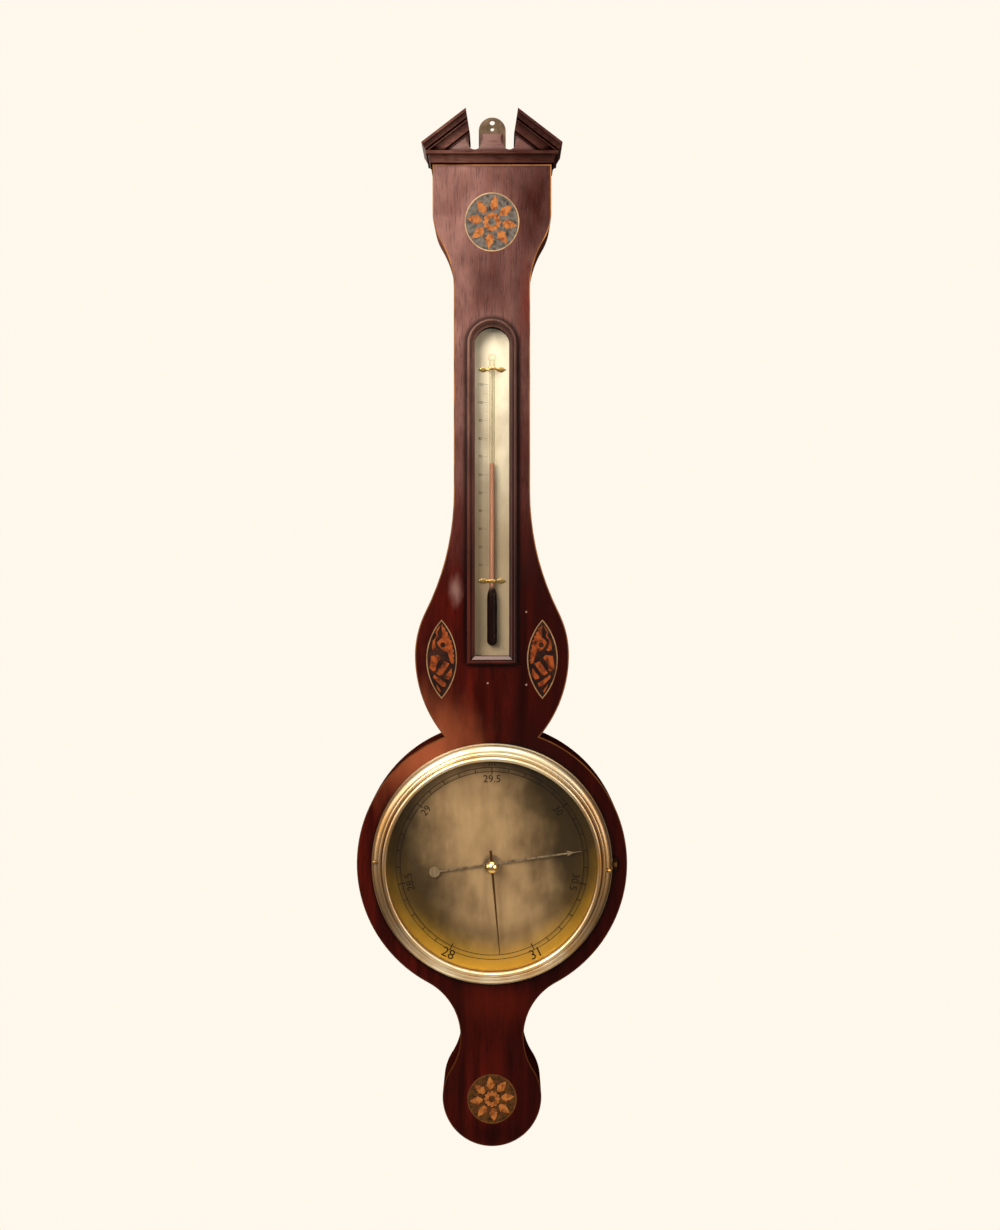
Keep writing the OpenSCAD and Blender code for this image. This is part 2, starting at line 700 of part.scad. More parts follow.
module raking_cornice(side) color("#6b3020") from_dial() mirror([side > 0 ? 1 : 0, 0, 0]) intersection() {
    // Moulded bar along the slope, on the tympanum's left edge
    translate([-rake_corner.x, 0, rake_corner.y - rake_upright]) rotate([0, -rake_a, 0])
        translate([-rake_t, 0, 0]) rotate([90, 0, 90]) linear_extrude(3 * rake_corner.x)
            polygon(concat([[pediment_back, rake_t], [pediment_back, 0]],
                [for (p = moulding(rake_steps, rake_out, rake_t)) [front_y - p.x, p.y]]));
    // Cut at its outer corner, on the horizontal cornice and at the break
    board(over, carcass_t + 2 * rake_t)
        polygon([[-rake_corner.x, rake_tip_z + over], [-rake_corner.x, rake_corner.y],
            [-head_half - cornice_out, cornice_top], [break_edge(cornice_top), cornice_top],
            [break_edge(rake_tip_z + over), rake_tip_z + over]]);
}

// Left edge of the break at a height
function break_edge(z) = -break_half + (rake_tip_z - z) * tan(rake_end_lean);
// Height of the raking cornice's lower edge at a distance from the centre line
function rake_low(x) = rake_corner.y - rake_upright + (rake_corner.x - x) * tan(rake_a);

module raking_cornice_left() raking_cornice(-1);

module raking_cornice_right() raking_cornice(1);

// Board behind the raking cornices, with a slot on each side of its plinth
module tympanum() color("#7a3a26") from_dial() difference() {
    foot_half = rake_corner.x - (rake_upright - rake_foot) / tan(rake_a);
    edge_x = slot_x + slot_half;
    plinth_x = slot_x - slot_half + over;
    plinth_z = cornice_top + plinth_h;
    board(front_y + tympanum_t, tympanum_t) difference() {
        polygon(concat(
            [for (side = [-1, 1]) [side * foot_half, cornice_top]],
            [[edge_x, rake_low(edge_x)], [plinth_x, plinth_z]],
            [[-plinth_x, plinth_z], [-edge_x, rake_low(edge_x)]]));
        for (side = [-1, 1]) translate([side * slot_x, cornice_top + slot_under + slot_half])
            polygon(concat([[slot_half, rake_t], [-slot_half, rake_t]],
                arc([0, 0], slot_half, turn, 2 * turn, 0)));
    }
    // Hollows towards the front
    for (side = [-1, 1])
        translate([side * slot_x, front_y + slot_hollow_d, cornice_top + slot_hollow_up]) rotate([90, 0, 0])
            cylinder(h = slot_hollow_d + over, r1 = slot_hollow_in, r2 = slot_hollow_r);
}

// The hanging plate

module hanging_plate() color("#b58b4a") from_dial() difference() {
    board(0, hanger_t) hanger_shape();
    rod([0, hang_rise], over, hanger_t + 2 * over, hang_hole_r);
    rod([0, hang_rise - second_hole_drop], over, hanger_t + 2 * over, second_hole_r);
    for (p = hanger_screw_ps) screw_hole(wood_screw, p, 0, 1);
}

module hanging_plate_screws() color("#a8823f") from_dial()
    for (p = hanger_screw_ps) screw(wood_screw, p, 0, 1);

// Inlaid ornaments

module oval(half_w, half_h, grow = 0)
    polygon([for (a = [0:6:354]) [(half_w + grow) * cos(a), (half_h + grow) * sin(a)]]);

// Pointed oval of two arcs, set in by a distance
module lens(inset) {
    lens_r = (pow(shell_half_h, 2) + pow(shell_half_w, 2)) / (2 * shell_half_w);
    intersection_for(side = [-1, 1])
        translate([side * (lens_r - shell_half_w), 0]) circle(lens_r - inset);
}

// Right edge of a three-pointed petal and the sizes of the ring flower, in hundredths of the reach
petal_edge = [[4, 42], [10, 48], [13, 55], [21, 65], [13, 65], [14, 73], [11, 82], [5, 92], [0, 100]];
ring_in = 15;
ring_out = 29;
scallop_out = 6.5;
petals = 8;
scallops = 12;
// Turn of each flower's petals, in degrees
head_petal_turn = -8;
foot_petal_turn = 6;

function petal(reach) = concat(
    [for (p = petal_edge) p * reach / 100],
    [for (k = [len(petal_edge) - 2:-1:0]) [-petal_edge[k].x, petal_edge[k].y] * reach / 100]);

// Leaf flower: petals round a scalloped ring
module flower(reach, petal_turn) {
    for (k = [0:petals - 1]) rotate(petal_turn + 2 * turn * k / petals) polygon(petal(reach));
    difference() {
        union() {
            circle(reach * ring_out / 100);
            for (k = [0:scallops - 1]) rotate(2 * turn * k / scallops)
                translate([0, reach * ring_out / 100]) circle(reach * scallop_out / 100);
        }
        circle(reach * ring_in / 100);
    }
}

// Room between a flower's petals and its rim
flower_room = 1;

module head_flower() translate([0, flower_rise])
    scale([1, flower_half_h / flower_half_w]) flower(flower_half_w - rim_w - flower_room, head_petal_turn);

module foot_flower() translate(foot_flower_c) flower(foot_flower_r - rim_w - flower_room, foot_petal_turn);

module patera_grounds() color("#4c4a35") from_dial() board(-carcass_t, veneer_t) {
    inset = rim_w + glue_line;
    difference() {
        translate([0, flower_rise]) oval(flower_half_w - inset, flower_half_h - inset);
        head_flower();
    }
    difference() {
        translate(foot_flower_c) circle(foot_flower_r - inset);
        foot_flower();
    }
}

module patera_rims() color("#d9b27c") from_dial() board(-carcass_t, veneer_t) {
    translate([0, flower_rise]) difference() {
        oval(flower_half_w, flower_half_h);
        oval(flower_half_w - rim_w, flower_half_h - rim_w);
    }
    translate(foot_flower_c) difference() {
        circle(foot_flower_r);
        circle(foot_flower_r - rim_w);
    }
}

module patera_flowers() color("#d9883f") from_dial() board(-carcass_t, veneer_t) {
    head_flower();
    foot_flower();
}

// Sea shell, in hundredths of its oval's half width and half height: the toothed body with its hollow,
// the curled lip beside it and the whorls of the spire below
shell_body = [[1, 89], [24, 78], [48, 61], [69, 41], [79, 21], [83, 1], [78, -12], [62, -10], [49, 5],
    [38, 18], [7, 23], [-15, 30], [-32, 41], [-14, 49], [4, 55], [1, 70]];
shell_lip = [[-6, 86], [-30, 76], [-39, 68], [-32, 59], [-57, 46], [-62, 32], [-60, 24], [-39, 20], [-24, 24],
    [-38, 29], [-41, 38], [-42, 48], [-22, 58], [-27, 68], [-17, 76]];
shell_whorls = [
    [[-69, 8], [-21, 11], [-4, 4], [-32, -12], [-41, -29], [-57, -30], [-78, -22], [-72, -4]],
    [[16, -5], [52, -11], [4, -39], [-15, -41], [-35, -35]],
    [[66, -22], [69, -40], [47, -51], [24, -49], [22, -44]],
    [[-49, -39], [30, -61], [24, -69], [4, -70], [-55, -46]],
    [[-35, -62], [-4, -80], [-11, -85], [-31, -71]]];
shell_eye = [8, 36];
shell_eye_r = 17;
// Notches along the body's outer edge: place on that edge and radius
tooth_r = 8;
tooth_edge = [[16, 83], [33, 72.5], [48, 62], [60, 51], [70, 40], [77, 28], [82, 15], [84, 2]];

function on_shell(p) = [p.x * shell_half_w, p.y * shell_half_h] / 100;

module shell_piece(points) polygon([for (p = points) on_shell(p)]);

module shell_figure() {
    difference() {
        shell_piece(shell_body);
        translate(on_shell(shell_eye)) circle(shell_half_w * shell_eye_r / 100);
        for (p = tooth_edge) translate(on_shell(p)) circle(shell_half_w * tooth_r / 100, $fn = 16);
    }
    shell_piece(shell_lip);
    for (points = shell_whorls) shell_piece(points);
}

module shell_place(side) translate([side * shell_x, shell_z]) mirror([side > 0 ? 1 : 0, 0]) children();

module shell_grounds() color("#2a1a12") from_dial() board(-carcass_t, veneer_t)
    for (side = [-1, 1]) shell_place(side) difference() {
        lens(rim_w + glue_line);
        shell_figure();
    }

module shell_rims() color("#d9b27c") from_dial() board(-carcass_t, veneer_t)
    for (side = [-1, 1]) shell_place(side) difference() {
        lens(0);
        lens(rim_w);
    }

module shell_figures() color("#d9a35c") from_dial() board(-carcass_t, veneer_t)
    for (side = [-1, 1]) shell_place(side) shell_figure();

// The thermometer

// Profile of the frame's moulding: distance out from the opening and height above the veneer
function frame_profile() =
    let (bead_z = frame_mould_h - frame_bead_r, bead_x = frame_mould_w - frame_rim_w - frame_bead_r)
    concat(
        [[0, 0], [0, frame_fillet], [frame_fillet / 2, frame_fillet]],
        arc([frame_fillet / 2, bead_z], bead_z - frame_fillet, -90, 0, 1, 15),
        arc([bead_x, bead_z], frame_bead_r, turn, 0, 0, 15),
        [[frame_mould_w, bead_z], [frame_mould_w, 0]]);

module thermometer_frame() color("#6b3020") from_dial() translate([0, front_y, 0]) {
    corner = [opening_half + frame_mould_w, frame_foot_rise];
    inner = corner + [-frame_mould_w, frame_mould_w];
    // Arch
    translate([0, 0, frame_spring_rise]) rotate([90, 0, 0]) rotate_extrude(angle = turn)
        translate([opening_half, 0]) polygon(frame_profile());
    // Stiles, mitred at their feet
    for (side = [0, 1]) mirror([side, 0, 0]) intersection() {
        translate([opening_half, 0, frame_foot_rise]) mirror([0, 1, 0])
            linear_extrude(frame_spring_rise - frame_foot_rise) polygon(frame_profile());
        board(over, 2 * frame_mould_h)
            polygon([corner, [corner.x + over, corner.y - over], [corner.x + over, frame_spring_rise],
                [inner.x - over, frame_spring_rise], [inner.x - over, inner.y + over]]);
    }
    // Lower rail, mitred at both ends
    intersection() {
        translate([-corner.x, 0, inner.y]) rotate([90, 0, 90]) linear_extrude(2 * corner.x)
            polygon([for (p = frame_profile()) [-p.y, -p.x]]);
        board(over, 2 * frame_mould_h)
            polygon([[-corner.x - over, corner.y - over], [corner.x + over, corner.y - over],
                [inner.x - over, inner.y + over], [-inner.x + over, inner.y + over]]);
    }
}

module thermometer_glass() color("#cfe3e8", 0.35) from_dial()
    board(front_y + pane_t, pane_t) arched(recess_half - glue_line, frame_foot_rise + frame_lap + glue_line);

module thermometer_box() color("#5a2a1a") from_dial() difference() {
    foot = frame_foot_rise + frame_lap + glue_line;
    half = recess_half - glue_line;
    board(recess_floor_y, recess_d - pane_t - glue_line) arched(half, foot);
    board(recess_floor_y - box_wall, recess_d) arched(half - box_wall, foot + box_wall);
    for (p = scale_screw_ps) screw_hole(scale_screw, p, scale_face_y, -1);
}

module thermometer_scale() color("#c9bb95") from_dial() difference() {
    board(scale_face_y + scale_t, scale_t)
        arched(recess_half - box_wall - pass_gap, frame_foot_rise + frame_lap + box_wall + pass_gap);
    for (p = scale_screw_ps) screw_hole(scale_screw, p, scale_face_y, -1);
}

module scale_screws() color("#b58b4a") from_dial()
    for (p = scale_screw_ps) screw(scale_screw, p, scale_face_y, -1);

// Half profile of the bulb and stem, thinner by a wall
function stem_profile(r_bulb, r_stem, foot, top) = concat(
    [[0, foot]],
    arc([0, foot + r_bulb], r_bulb, -90, 0, 1, 15),
    [for (k = [0:6]) let (a = acos(r_stem / r_bulb) * k / 6)
        [r_bulb * cos(a), stem_foot_z - bulb_shoulder * (1 - sin(a))]],
    [[r_stem, top], [0, top]]);

module on_stem() translate([0, stem_y, 0]) children();

module thermometer_tube() color("#dfe8e6", 0.4) from_dial() on_stem() {
    difference() {
        rotate_extrude() polygon(stem_profile(bulb_r, stem_r, bulb_foot_z, stem_top_z));
        rotate_extrude() polygon(stem_profile(bulb_r - bulb_wall, stem_bore_r, bulb_foot_z + bulb_wall,
            stem_top_z - stem_seal));
    }
    // Glass loop at the top
    translate([0, 0, stem_top_z + loop_r - loop_sink]) rotate([90, 0, 0]) rotate_extrude()
        translate([loop_r, 0]) circle(loop_rod_r);
}

module thermometer_spirit() color("#5a1414") from_dial() on_stem()
    rotate_extrude() polygon(stem_profile(bulb_r - bulb_wall - glue_line, stem_bore_r - glue_line,
        bulb_foot_z + bulb_wall + glue_line, stem_foot_z + spirit_l));

// Bow-tie clips: two flat feet on the scale and a bridge over the stem
module thermometer_clips() color("#c9a25a") from_dial() for (z = clip_zs) {
    inner_r = stem_r + glue_line;
    outer_r = inner_r + clip_t;
    board(scale_face_y, clip_t) for (side = [-1, 1])
        polygon([[side * inner_r, z - clip_w / 4], [side * clip_half, z - clip_w / 2],
            [side * clip_half, z + clip_w / 2], [side * inner_r, z + clip_w / 4]]);
    translate([0, 0, z - clip_w / 4]) linear_extrude(clip_w / 2)
        polygon(concat(
            [[outer_r, scale_face_y], [inner_r, scale_face_y]],
            arc([0, stem_y], inner_r, 0, -turn, 0, 10),
            [[-inner_r, scale_face_y], [-outer_r, scale_face_y]],
            arc([0, stem_y], outer_r, -turn, 0, 0, 10)));
}

// The dial and its mechanism

module dial_plate() color("#b8a274") from_dial() difference() {
    board(dial_floor_y, dial_t) circle(dial_r);
    rod([0, 0], dial_floor_y + over, dial_t + 2 * over, arbor_r + dial_hole_room);
    for (p = dial_screw_ps) screw_hole(fine_screw, p, dial_face_y, -1);
}

module dial_screws() color("#a8823f") from_dial()
    for (p = dial_screw_ps) screw(fine_screw, p, dial_face_y, -1);

module arbor_plate() color("#b58b4a") from_dial() difference() {
    union() {
        board(cavity_floor_y + plate_t, plate_t)
            span([-plate_half_w, plate_half_w, -plate_half_h, plate_half_h]);
        rod([0, 0], cavity_floor_y + plate_t + boss_h, plate_t + boss_h, arbor_r + boss_wall);
    }
    rod([0, 0], wheel_y, carcass_t, arbor_r + run_fit);
    for (p = plate_screw_ps) screw_hole(fine_screw, p, cavity_floor_y + plate_t, 1);
    for (p = cock_screw_ps) rod(p, over, carcass_t, fine_screw[0] + run_fit);
}

// Bracket behind the pulley that carries the arbor's rear pivot
module arbor_cock() color("#b58b4a") from_dial() difference() {
    post = [-cock_post_half, cock_post_half, cock_foot_z, cock_foot_z + cock_post_t];
    foot_y = cavity_floor_y + plate_t;
    union() {
        board(foot_y + cock_foot_t, cock_foot_t)
            span([-cock_half, cock_half, cock_foot_z, cock_foot_z + cock_foot_h]);
        board(cock_back_y, cock_back_y - foot_y) span(post);
        board(cock_back_y, cock_arm_t)
            polygon(concat([[post[1], post[3]], [post[0], post[3]]],
                arc([0, 0], post[1], turn, 2 * turn, 0)));
    }
    rod([0, 0], cock_back_y + over, cock_arm_t + 2 * over, pivot_r + run_fit);
    for (p = cock_screw_ps) screw_hole(cock_screw, p, foot_y + cock_foot_t, 1);
}

module cock_screws() color("#8c8f92") from_dial() {
    for (p = plate_screw_ps) screw(fine_screw, p, cavity_floor_y + plate_t, 1);
    for (p = cock_screw_ps) screw(cock_screw, p, cavity_floor_y + plate_t + cock_foot_t, 1);
}

module index_arbor() color("#9aa0a4") from_dial() turned([0, 0], cock_back_y + pass_gap)
    polygon([[0, 0], [pivot_r, 0], [pivot_r, cock_arm_t + 2 * pass_gap], [arbor_r, cock_arm_t + 2 * pass_gap],
        [arbor_r, arbor_l], [0, arbor_l]]);

module index_pulley() color("#a8823f") from_dial() turned([0, 0], wheel_y + pulley_hub_l / 2) {
    bore = arbor_r + fixed_fit;
    groove_r = thread_rad - thread_d / 2 - run_fit;
    mid = pulley_hub_l / 2;
    rim = groove_r + groove_d;
    lip = pulley_t / 2 - pulley_lip_t;
    polygon([[bore, 0], [hub_r, 0], [hub_r, mid - pulley_t / 2], [rim, mid - pulley_t / 2], [rim, mid - lip],
        [groove_r, mid - thread_d], [groove_r, mid + thread_d], [rim, mid + lip], [rim, mid + pulley_t / 2],
        [hub_r, mid + pulley_t / 2], [hub_r, pulley_hub_l], [bore, pulley_hub_l]]);
}

// Long hand with an arrow point, a ring at its boss and a disc on its tail
module index_hand() color("#d8cfae") from_dial() difference() {
    union() {
        board(index_y, hand_t) rotate(-index_a) {
            barb = index_l - point_l;
            slim = 2 * blade_half / 3;
            polygon([[-blade_half, 0], [blade_half, 0], [slim, barb + slim], [point_half, barb],
                [tip_half, index_l - tip_l], [0, index_l], [-tip_half, index_l - tip_l],
                [-point_half, barb], [-slim, barb + slim]]);
            polygon([[-tail_half, 0], [tail_half, 0], [slim, -tail_l], [-slim, -tail_l]]);
            translate([0, -tail_l]) circle(tail_disc_r);
            circle(hand_disc_r);
            difference() {
                circle(hand_ring_r);
                circle(hand_ring_r - hand_ring_w);
            }
        }
        rod([0, 0], index_y + hand_boss_h, hand_t + 2 * hand_boss_h, arbor_r + hand_ring_w);
    }
    rod([0, 0], 0, -2 * front_y, arbor_r + fixed_fit);
}

// A straight tube of glass or mercury between two heights
module upright(x, z0, z1, r) translate([x, wheel_y, z0]) cylinder(h = z1 - z0, r = r);

// The bend below both limbs, as a ring's lower half
module bend(outer, inner)
    translate([(short_x + long_x) / 2, wheel_y, bend_z]) rotate([90, 0, 0]) rotate([0, 0, turn])
        rotate_extrude(angle = turn) translate([bend_r, 0]) difference() {
            circle(outer);
            if (inner > 0) circle(inner);
        }

module siphon_tube() color("#cfe0e2", 0.35) from_dial() {
    bend(tube_r, tube_bore_r);
    difference() {
        upright(short_x, bend_z, open_end_l - mercury_drop, tube_r);
        upright(short_x, bend_z - over, open_end_l - mercury_drop + over, tube_bore_r);
    }
    translate([long_x, wheel_y, 0]) rotate_extrude()
        polygon(concat([[tube_bore_r, bend_z], [tube_r, bend_z]],
            arc([0, tube_top - tube_r], tube_r, 0, 90, 0, 15),
            arc([0, tube_top - tube_r], tube_bore_r, 90, 0, 0, 15)));
}

module mercury_bend() color("#c4c8cc") from_dial() bend(tube_bore_r - glue_line, 0);

module mercury_long() color("#c4c8cc") from_dial()
    upright(long_x, bend_z, mercury_h - mercury_drop, tube_bore_r - glue_line);

module mercury_short() color("#c4c8cc") from_dial()
    upright(short_x, bend_z, -mercury_drop, tube_bore_r - glue_line);

// Cork pads that seat the tube in its channel
module tube_pads() color("#b98a5a") from_dial() difference() {
    back = wheel_y - 1;
    board(back, channel_d + back) {
        for (z = pad_zs) span([trunk_channel[0], trunk_channel[1], z, z + pad_h]);
        span([foot_channel[0], foot_channel[1], foot_pad_z, foot_pad_z + pad_h]);
    }
    upright(long_x, bend_z, tube_top, tube_r + glue_line);
    upright(short_x, bend_z, tube_top, tube_r + glue_line);
}

module float() color("#8c8f92") from_dial()
    upright(short_x, -mercury_drop, float_l - mercury_drop, tube_bore_r - float_room);

module counterweight() color("#8c8f92") from_dial() translate([-thread_rad, wheel_y, -weight_drop - weight_l])
    rotate_extrude() polygon([[0, 0], [weight_r - weight_edge, 0], [weight_r, weight_edge],
        [weight_r, weight_l - weight_r], [weight_edge, weight_l], [0, weight_l]]);

module float_thread() color("#d8cfae") from_dial() upright(short_x, float_l - mercury_drop, 0, thread_d / 2);

module weight_thread() color("#d8cfae") from_dial() upright(-thread_rad, -weight_drop, 0, thread_d / 2);

module thread_wrap() color("#d8cfae") from_dial() translate([0, wheel_y, 0]) rotate([90, 0, 0])
    rotate_extrude(angle = turn) translate([thread_rad, 0]) circle(thread_d / 2);

// The bezel and its glass

// Profile of the bezel: radius and height above the veneer
function bezel_profile() =
    let (
        swell_c = [bezel_r - flange_lip - swell_w, flange_h],
        bead_c = [swell_c.x - quirk_w - bead_r, flange_h + swell_h + bead_r],
        lip_c = [bezel_lip_r + lip_bead_r, bezel_h - lip_bead_r]
    )
    concat(
        [[glass_r + pass_gap, pass_gap], [bezel_r, pass_gap], [bezel_r, flange_h]],
        [for (a = [0:10:90]) swell_c + [swell_w * cos(a), swell_h * sin(a)]],
        [[swell_c.x, flange_h + swell_h - quirk_w], [swell_c.x - quirk_w, flange_h + swell_h - quirk_w]],
        arc(bead_c, bead_r, 0, turn, 0, 15),
        arc(lip_c, lip_bead_r, 0, turn, 0, 15),
        [[bezel_lip_r, glass_seat_h], [glass_r + pass_gap, glass_seat_h]]);

module bezel() color("#c9a25a") from_dial() {
    half = bezel_knuckle_l / 2;
    gap = bezel_middle_l / 2 + pass_gap;
    difference() {
        union() {
            turned([0, 0], front_y) polygon(bezel_profile());
            // Webs that join the two outer knuckles to the flange
            for (z = [-half, gap]) translate([bezel_r - web_lap, bezel_axis.y - web_sink, z])
                cube([bezel_axis.x - bezel_r + web_lap, knuckle_r, half - gap]);
            for (z = [-half, gap]) translate([bezel_axis.x, bezel_axis.y, z])
                cylinder(h = half - gap, r = knuckle_r);
        }
        translate([bezel_axis.x, bezel_axis.y, -half - over])
            cylinder(h = bezel_knuckle_l + 2 * over, r = bezel_pin_r + run_fit);
        on_studs() rod(catch_p, front_y + over, carcass_t, catch_r + fixed_fit);
    }
}

module bezel_hinge_leaf() color("#b58b4a") from_dial() difference() {
    union() {
        board(-carcass_t, veneer_t) span(bezel_leaf_box());
        translate([bezel_axis.x - leaf_post_half, bezel_axis.y, -bezel_middle_l / 2])
            cube([2 * leaf_post_half, front_y - bezel_axis.y + veneer_t / 2, bezel_middle_l]);
        translate([bezel_axis.x, bezel_axis.y, -bezel_middle_l / 2])
            cylinder(h = bezel_middle_l, r = knuckle_r);
    }
    translate([bezel_axis.x, bezel_axis.y, -bezel_knuckle_l])
        cylinder(h = 2 * bezel_knuckle_l, r = bezel_pin_r + run_fit);
}

module bezel_hinge_pin() color("#a8823f") from_dial()
    translate([bezel_axis.x, bezel_axis.y, -bezel_knuckle_l / 2])
        cylinder(h = bezel_knuckle_l, r = bezel_pin_r);

// The places of the two studs, on opposite sides of the bezel
module on_studs() for (side = [0, turn]) rotate([0, catch_turn + side, 0]) children();

// Studs with a short bar; the left one is used to pull the bezel open
module bezel_catch() color("#c9a25a") from_dial() on_studs() {
    turned(catch_p, front_y - pass_gap)
        polygon(concat([[0, 0], [catch_r, 0], [catch_r, catch_seat_h], [catch_head_r, catch_seat_h]],
            arc([0, catch_seat_h + catch_r / 2], catch_head_r, 0, 90, 0, 15)));
    translate([catch_p.x - catch_bar_l, front_y - pass_gap - catch_seat_h - catch_bar_r, 0])
        rotate([0, 90, 0]) cylinder(h = catch_bar_l, r = catch_bar_r);
}

module dial_glass() color("#cfe3e8", 0.35) from_dial() difference() {
    board(front_y - glass_back_h, glass_t) circle(glass_r);
    rod([0, 0], front_y, carcass_t, spindle_r + run_fit);
}

module glass_retainer() color("#b58b4a") from_dial()
    board(front_y - glass_back_h + retainer_t, retainer_t) difference() {
        circle(glass_r);
        circle(bezel_lip_r + pass_gap);
    }

// Brass knob with its spindle through the glass; the spindle's shoulder rests on the washer
module set_knob() color("#c9a25a") from_dial() turned([0, 0], front_y - set_hand_h + hand_t + set_pin_out)
    let (
        seat = hand_t + set_pin_out + glass_seat_h - set_hand_h + run_fit,
        neck = seat - glass_t - 2 * run_fit,
        rim = seat + knob_neck_h + knob_flare_h + knob_rim_h
    )
    polygon(concat([[0, 0], [set_pin_r, 0], [set_pin_r, neck], [spindle_r, neck], [spindle_r, seat],
        [knob_neck_r, seat], [knob_neck_r, seat + knob_neck_h], [knob_r, seat + knob_neck_h + knob_flare_h],
        [knob_r, rim]],
        arc([0, rim - knob_dome], norm([knob_r, knob_dome]), atan2(knob_dome, knob_r), 90, 1, 10)));

module set_hand() color("#8a6a34") from_dial() board(front_y - set_hand_h + hand_t, hand_t) difference() {
    union() {
        rotate(-set_a) polygon([[-set_half, -set_tail_l], [set_half, -set_tail_l], [set_half, 0],
            [set_tip_half, set_l], [-set_tip_half, set_l], [-set_half, 0]]);
        circle(set_boss_r);
    }
    circle(set_pin_r + fixed_fit);
}

// Washer under the glass and nut behind the set hand
module set_collar() color("#b58b4a") from_dial() {
    board(front_y - glass_back_h + washer_t + run_fit, washer_t) difference() {
        circle(set_boss_r + washer_t);
        circle(set_pin_r + fixed_fit);
    }
    board(front_y - set_hand_h + hand_t + set_nut_t, set_nut_t) difference() {
        circle(set_nut_r, $fn = 6);
        circle(set_pin_r + fixed_fit);
    }
}

// The back

module back_door() color("#5a2a1a") from_dial() difference() {
    board(0, door_t) span(door_box);
    for (z = door_hinge_zs) translate([0, 0, z]) {
        translate([door_axis.x, door_axis.y, -door_hinge_l / 2 - pass_gap])
            cylinder(h = door_hinge_l + 2 * pass_gap, r = door_knuckle_r + pass_gap);
        board(over, door_leaf_t + door_leaf_sink + over)
            span([door_axis.x, door_axis.x + door_leaf_w, -door_hinge_l / 2, door_hinge_l / 2]);
    }
    rod([button_x, button_z], over, button_t + button_sink + pass_gap + over, button_l / 2 + pass_gap);
}

// One leaf of a door hinge; side is 1 towards the door, and pieces are the heights of its knuckles
module door_leaf(side, pieces) difference() {
    union() {
        board(-door_leaf_sink, door_leaf_t) {
            start = side > 0 ? door_axis.x + door_knuckle_r + pass_gap : door_axis.x - door_rim_gap;
            end = door_axis.x + side * door_leaf_w;
            span([min(start, end), max(start, end), -door_hinge_l / 2, door_hinge_l / 2]);
            for (p = pieces)
                span([min(door_axis.x, end), max(door_axis.x, end), p[0], p[1]]);
        }
        for (p = pieces) translate([door_axis.x, door_axis.y, p[0]])
            cylinder(h = p[1] - p[0], r = door_knuckle_r);
    }
    translate([door_axis.x, door_axis.y, -door_hinge_l])
        cylinder(h = 2 * door_hinge_l, r = door_pin_r + run_fit);
}

module door_leaves() color("#b58b4a") from_dial() for (z = door_hinge_zs) translate([0, 0, z]) {
    half = door_hinge_l / 2;
    inner = door_middle_l / 2 + pass_gap;
    door_leaf(1, [[-half, -inner], [inner, half]]);
}

module door_frame_leaves() color("#b58b4a") from_dial() for (z = door_hinge_zs) translate([0, 0, z])
    door_leaf(-1, [[-door_middle_l / 2, door_middle_l / 2]]);

module door_hinge_pins() color("#a8823f") from_dial() for (z = door_hinge_zs)
    translate([door_axis.x, door_axis.y, z - door_hinge_l / 2]) cylinder(h = door_hinge_l, r = door_pin_r);

module trunk_cover() color("#5a2a1a") from_dial() difference() {
    board(cover_back_y, cover_t) span(trunk_cover_box);
    for (p = trunk_screw_ps) screw_hole(fine_screw, p, cover_back_y, 1);
}

module foot_cover() color("#5a2a1a") from_dial() difference() {
    board(cover_back_y, cover_t) span(foot_cover_box);
    for (p = foot_screw_ps) screw_hole(fine_screw, p, cover_back_y, 1);
}

module cover_screws() color("#a8823f") from_dial()
    for (p = concat(trunk_screw_ps, foot_screw_ps)) screw(fine_screw, p, cover_back_y, 1);

module turn_button() color("#b58b4a") from_dial() difference() {
    board(-button_sink, button_t) translate([button_x, button_z]) {
        end = button_l / 2 - button_w / 2;
        polygon(concat(
            arc([0, end], button_w / 2, 0, turn, 0, 10),
            arc([0, -end], button_w / 2, turn, 2 * turn, 0, 10)));
    }
    screw_hole(wood_screw, [button_x, button_z], -button_sink, 1);
}

module button_screw() color("#a8823f") from_dial() screw(wood_screw, [button_x, button_z], -button_sink, 1);

case_carcass();
front_veneer();
edge_stringing();
cornice_moulding();
raking_cornice_left();
raking_cornice_right();
tympanum();
hanging_plate();
hanging_plate_screws();
patera_grounds();
patera_rims();
patera_flowers();
shell_grounds();
shell_rims();
shell_figures();
thermometer_box();
thermometer_frame();
thermometer_glass();
thermometer_scale();
thermometer_tube();
thermometer_spirit();
thermometer_clips();
scale_screws();
dial_plate();
dial_screws();
bezel_hinge_leaf();
bezel_hinge_pin();
arbor_plate();
arbor_cock();
cock_screws();
siphon_tube();
mercury_bend();
mercury_long();
mercury_short();
tube_pads();
trunk_cover();
foot_cover();
cover_screws();
door_frame_leaves();
door_hinge_pins();
button_screw();
thread_wrap();
float_thread();
weight_thread();
index_arbor();
index_pulley();
index_hand();
float();
counterweight();
bezel();
dial_glass();
glass_retainer();
bezel_catch();
set_hand();
set_knob();
set_collar();
back_door();
door_leaves();
turn_button();
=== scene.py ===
# %% [markdown]
# # A wheel barometer in a mahogany case
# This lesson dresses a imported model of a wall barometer: a long veneered case with a round dial,
# a boxed thermometer and a broken pediment. The solids come from the frame and stay as they are.
# We add finishes, engraving, slotted screws and the soft threads, and then the studio.

# %% Load the frame
import math

import bmesh
import bpy
from mathutils import Matrix, Vector


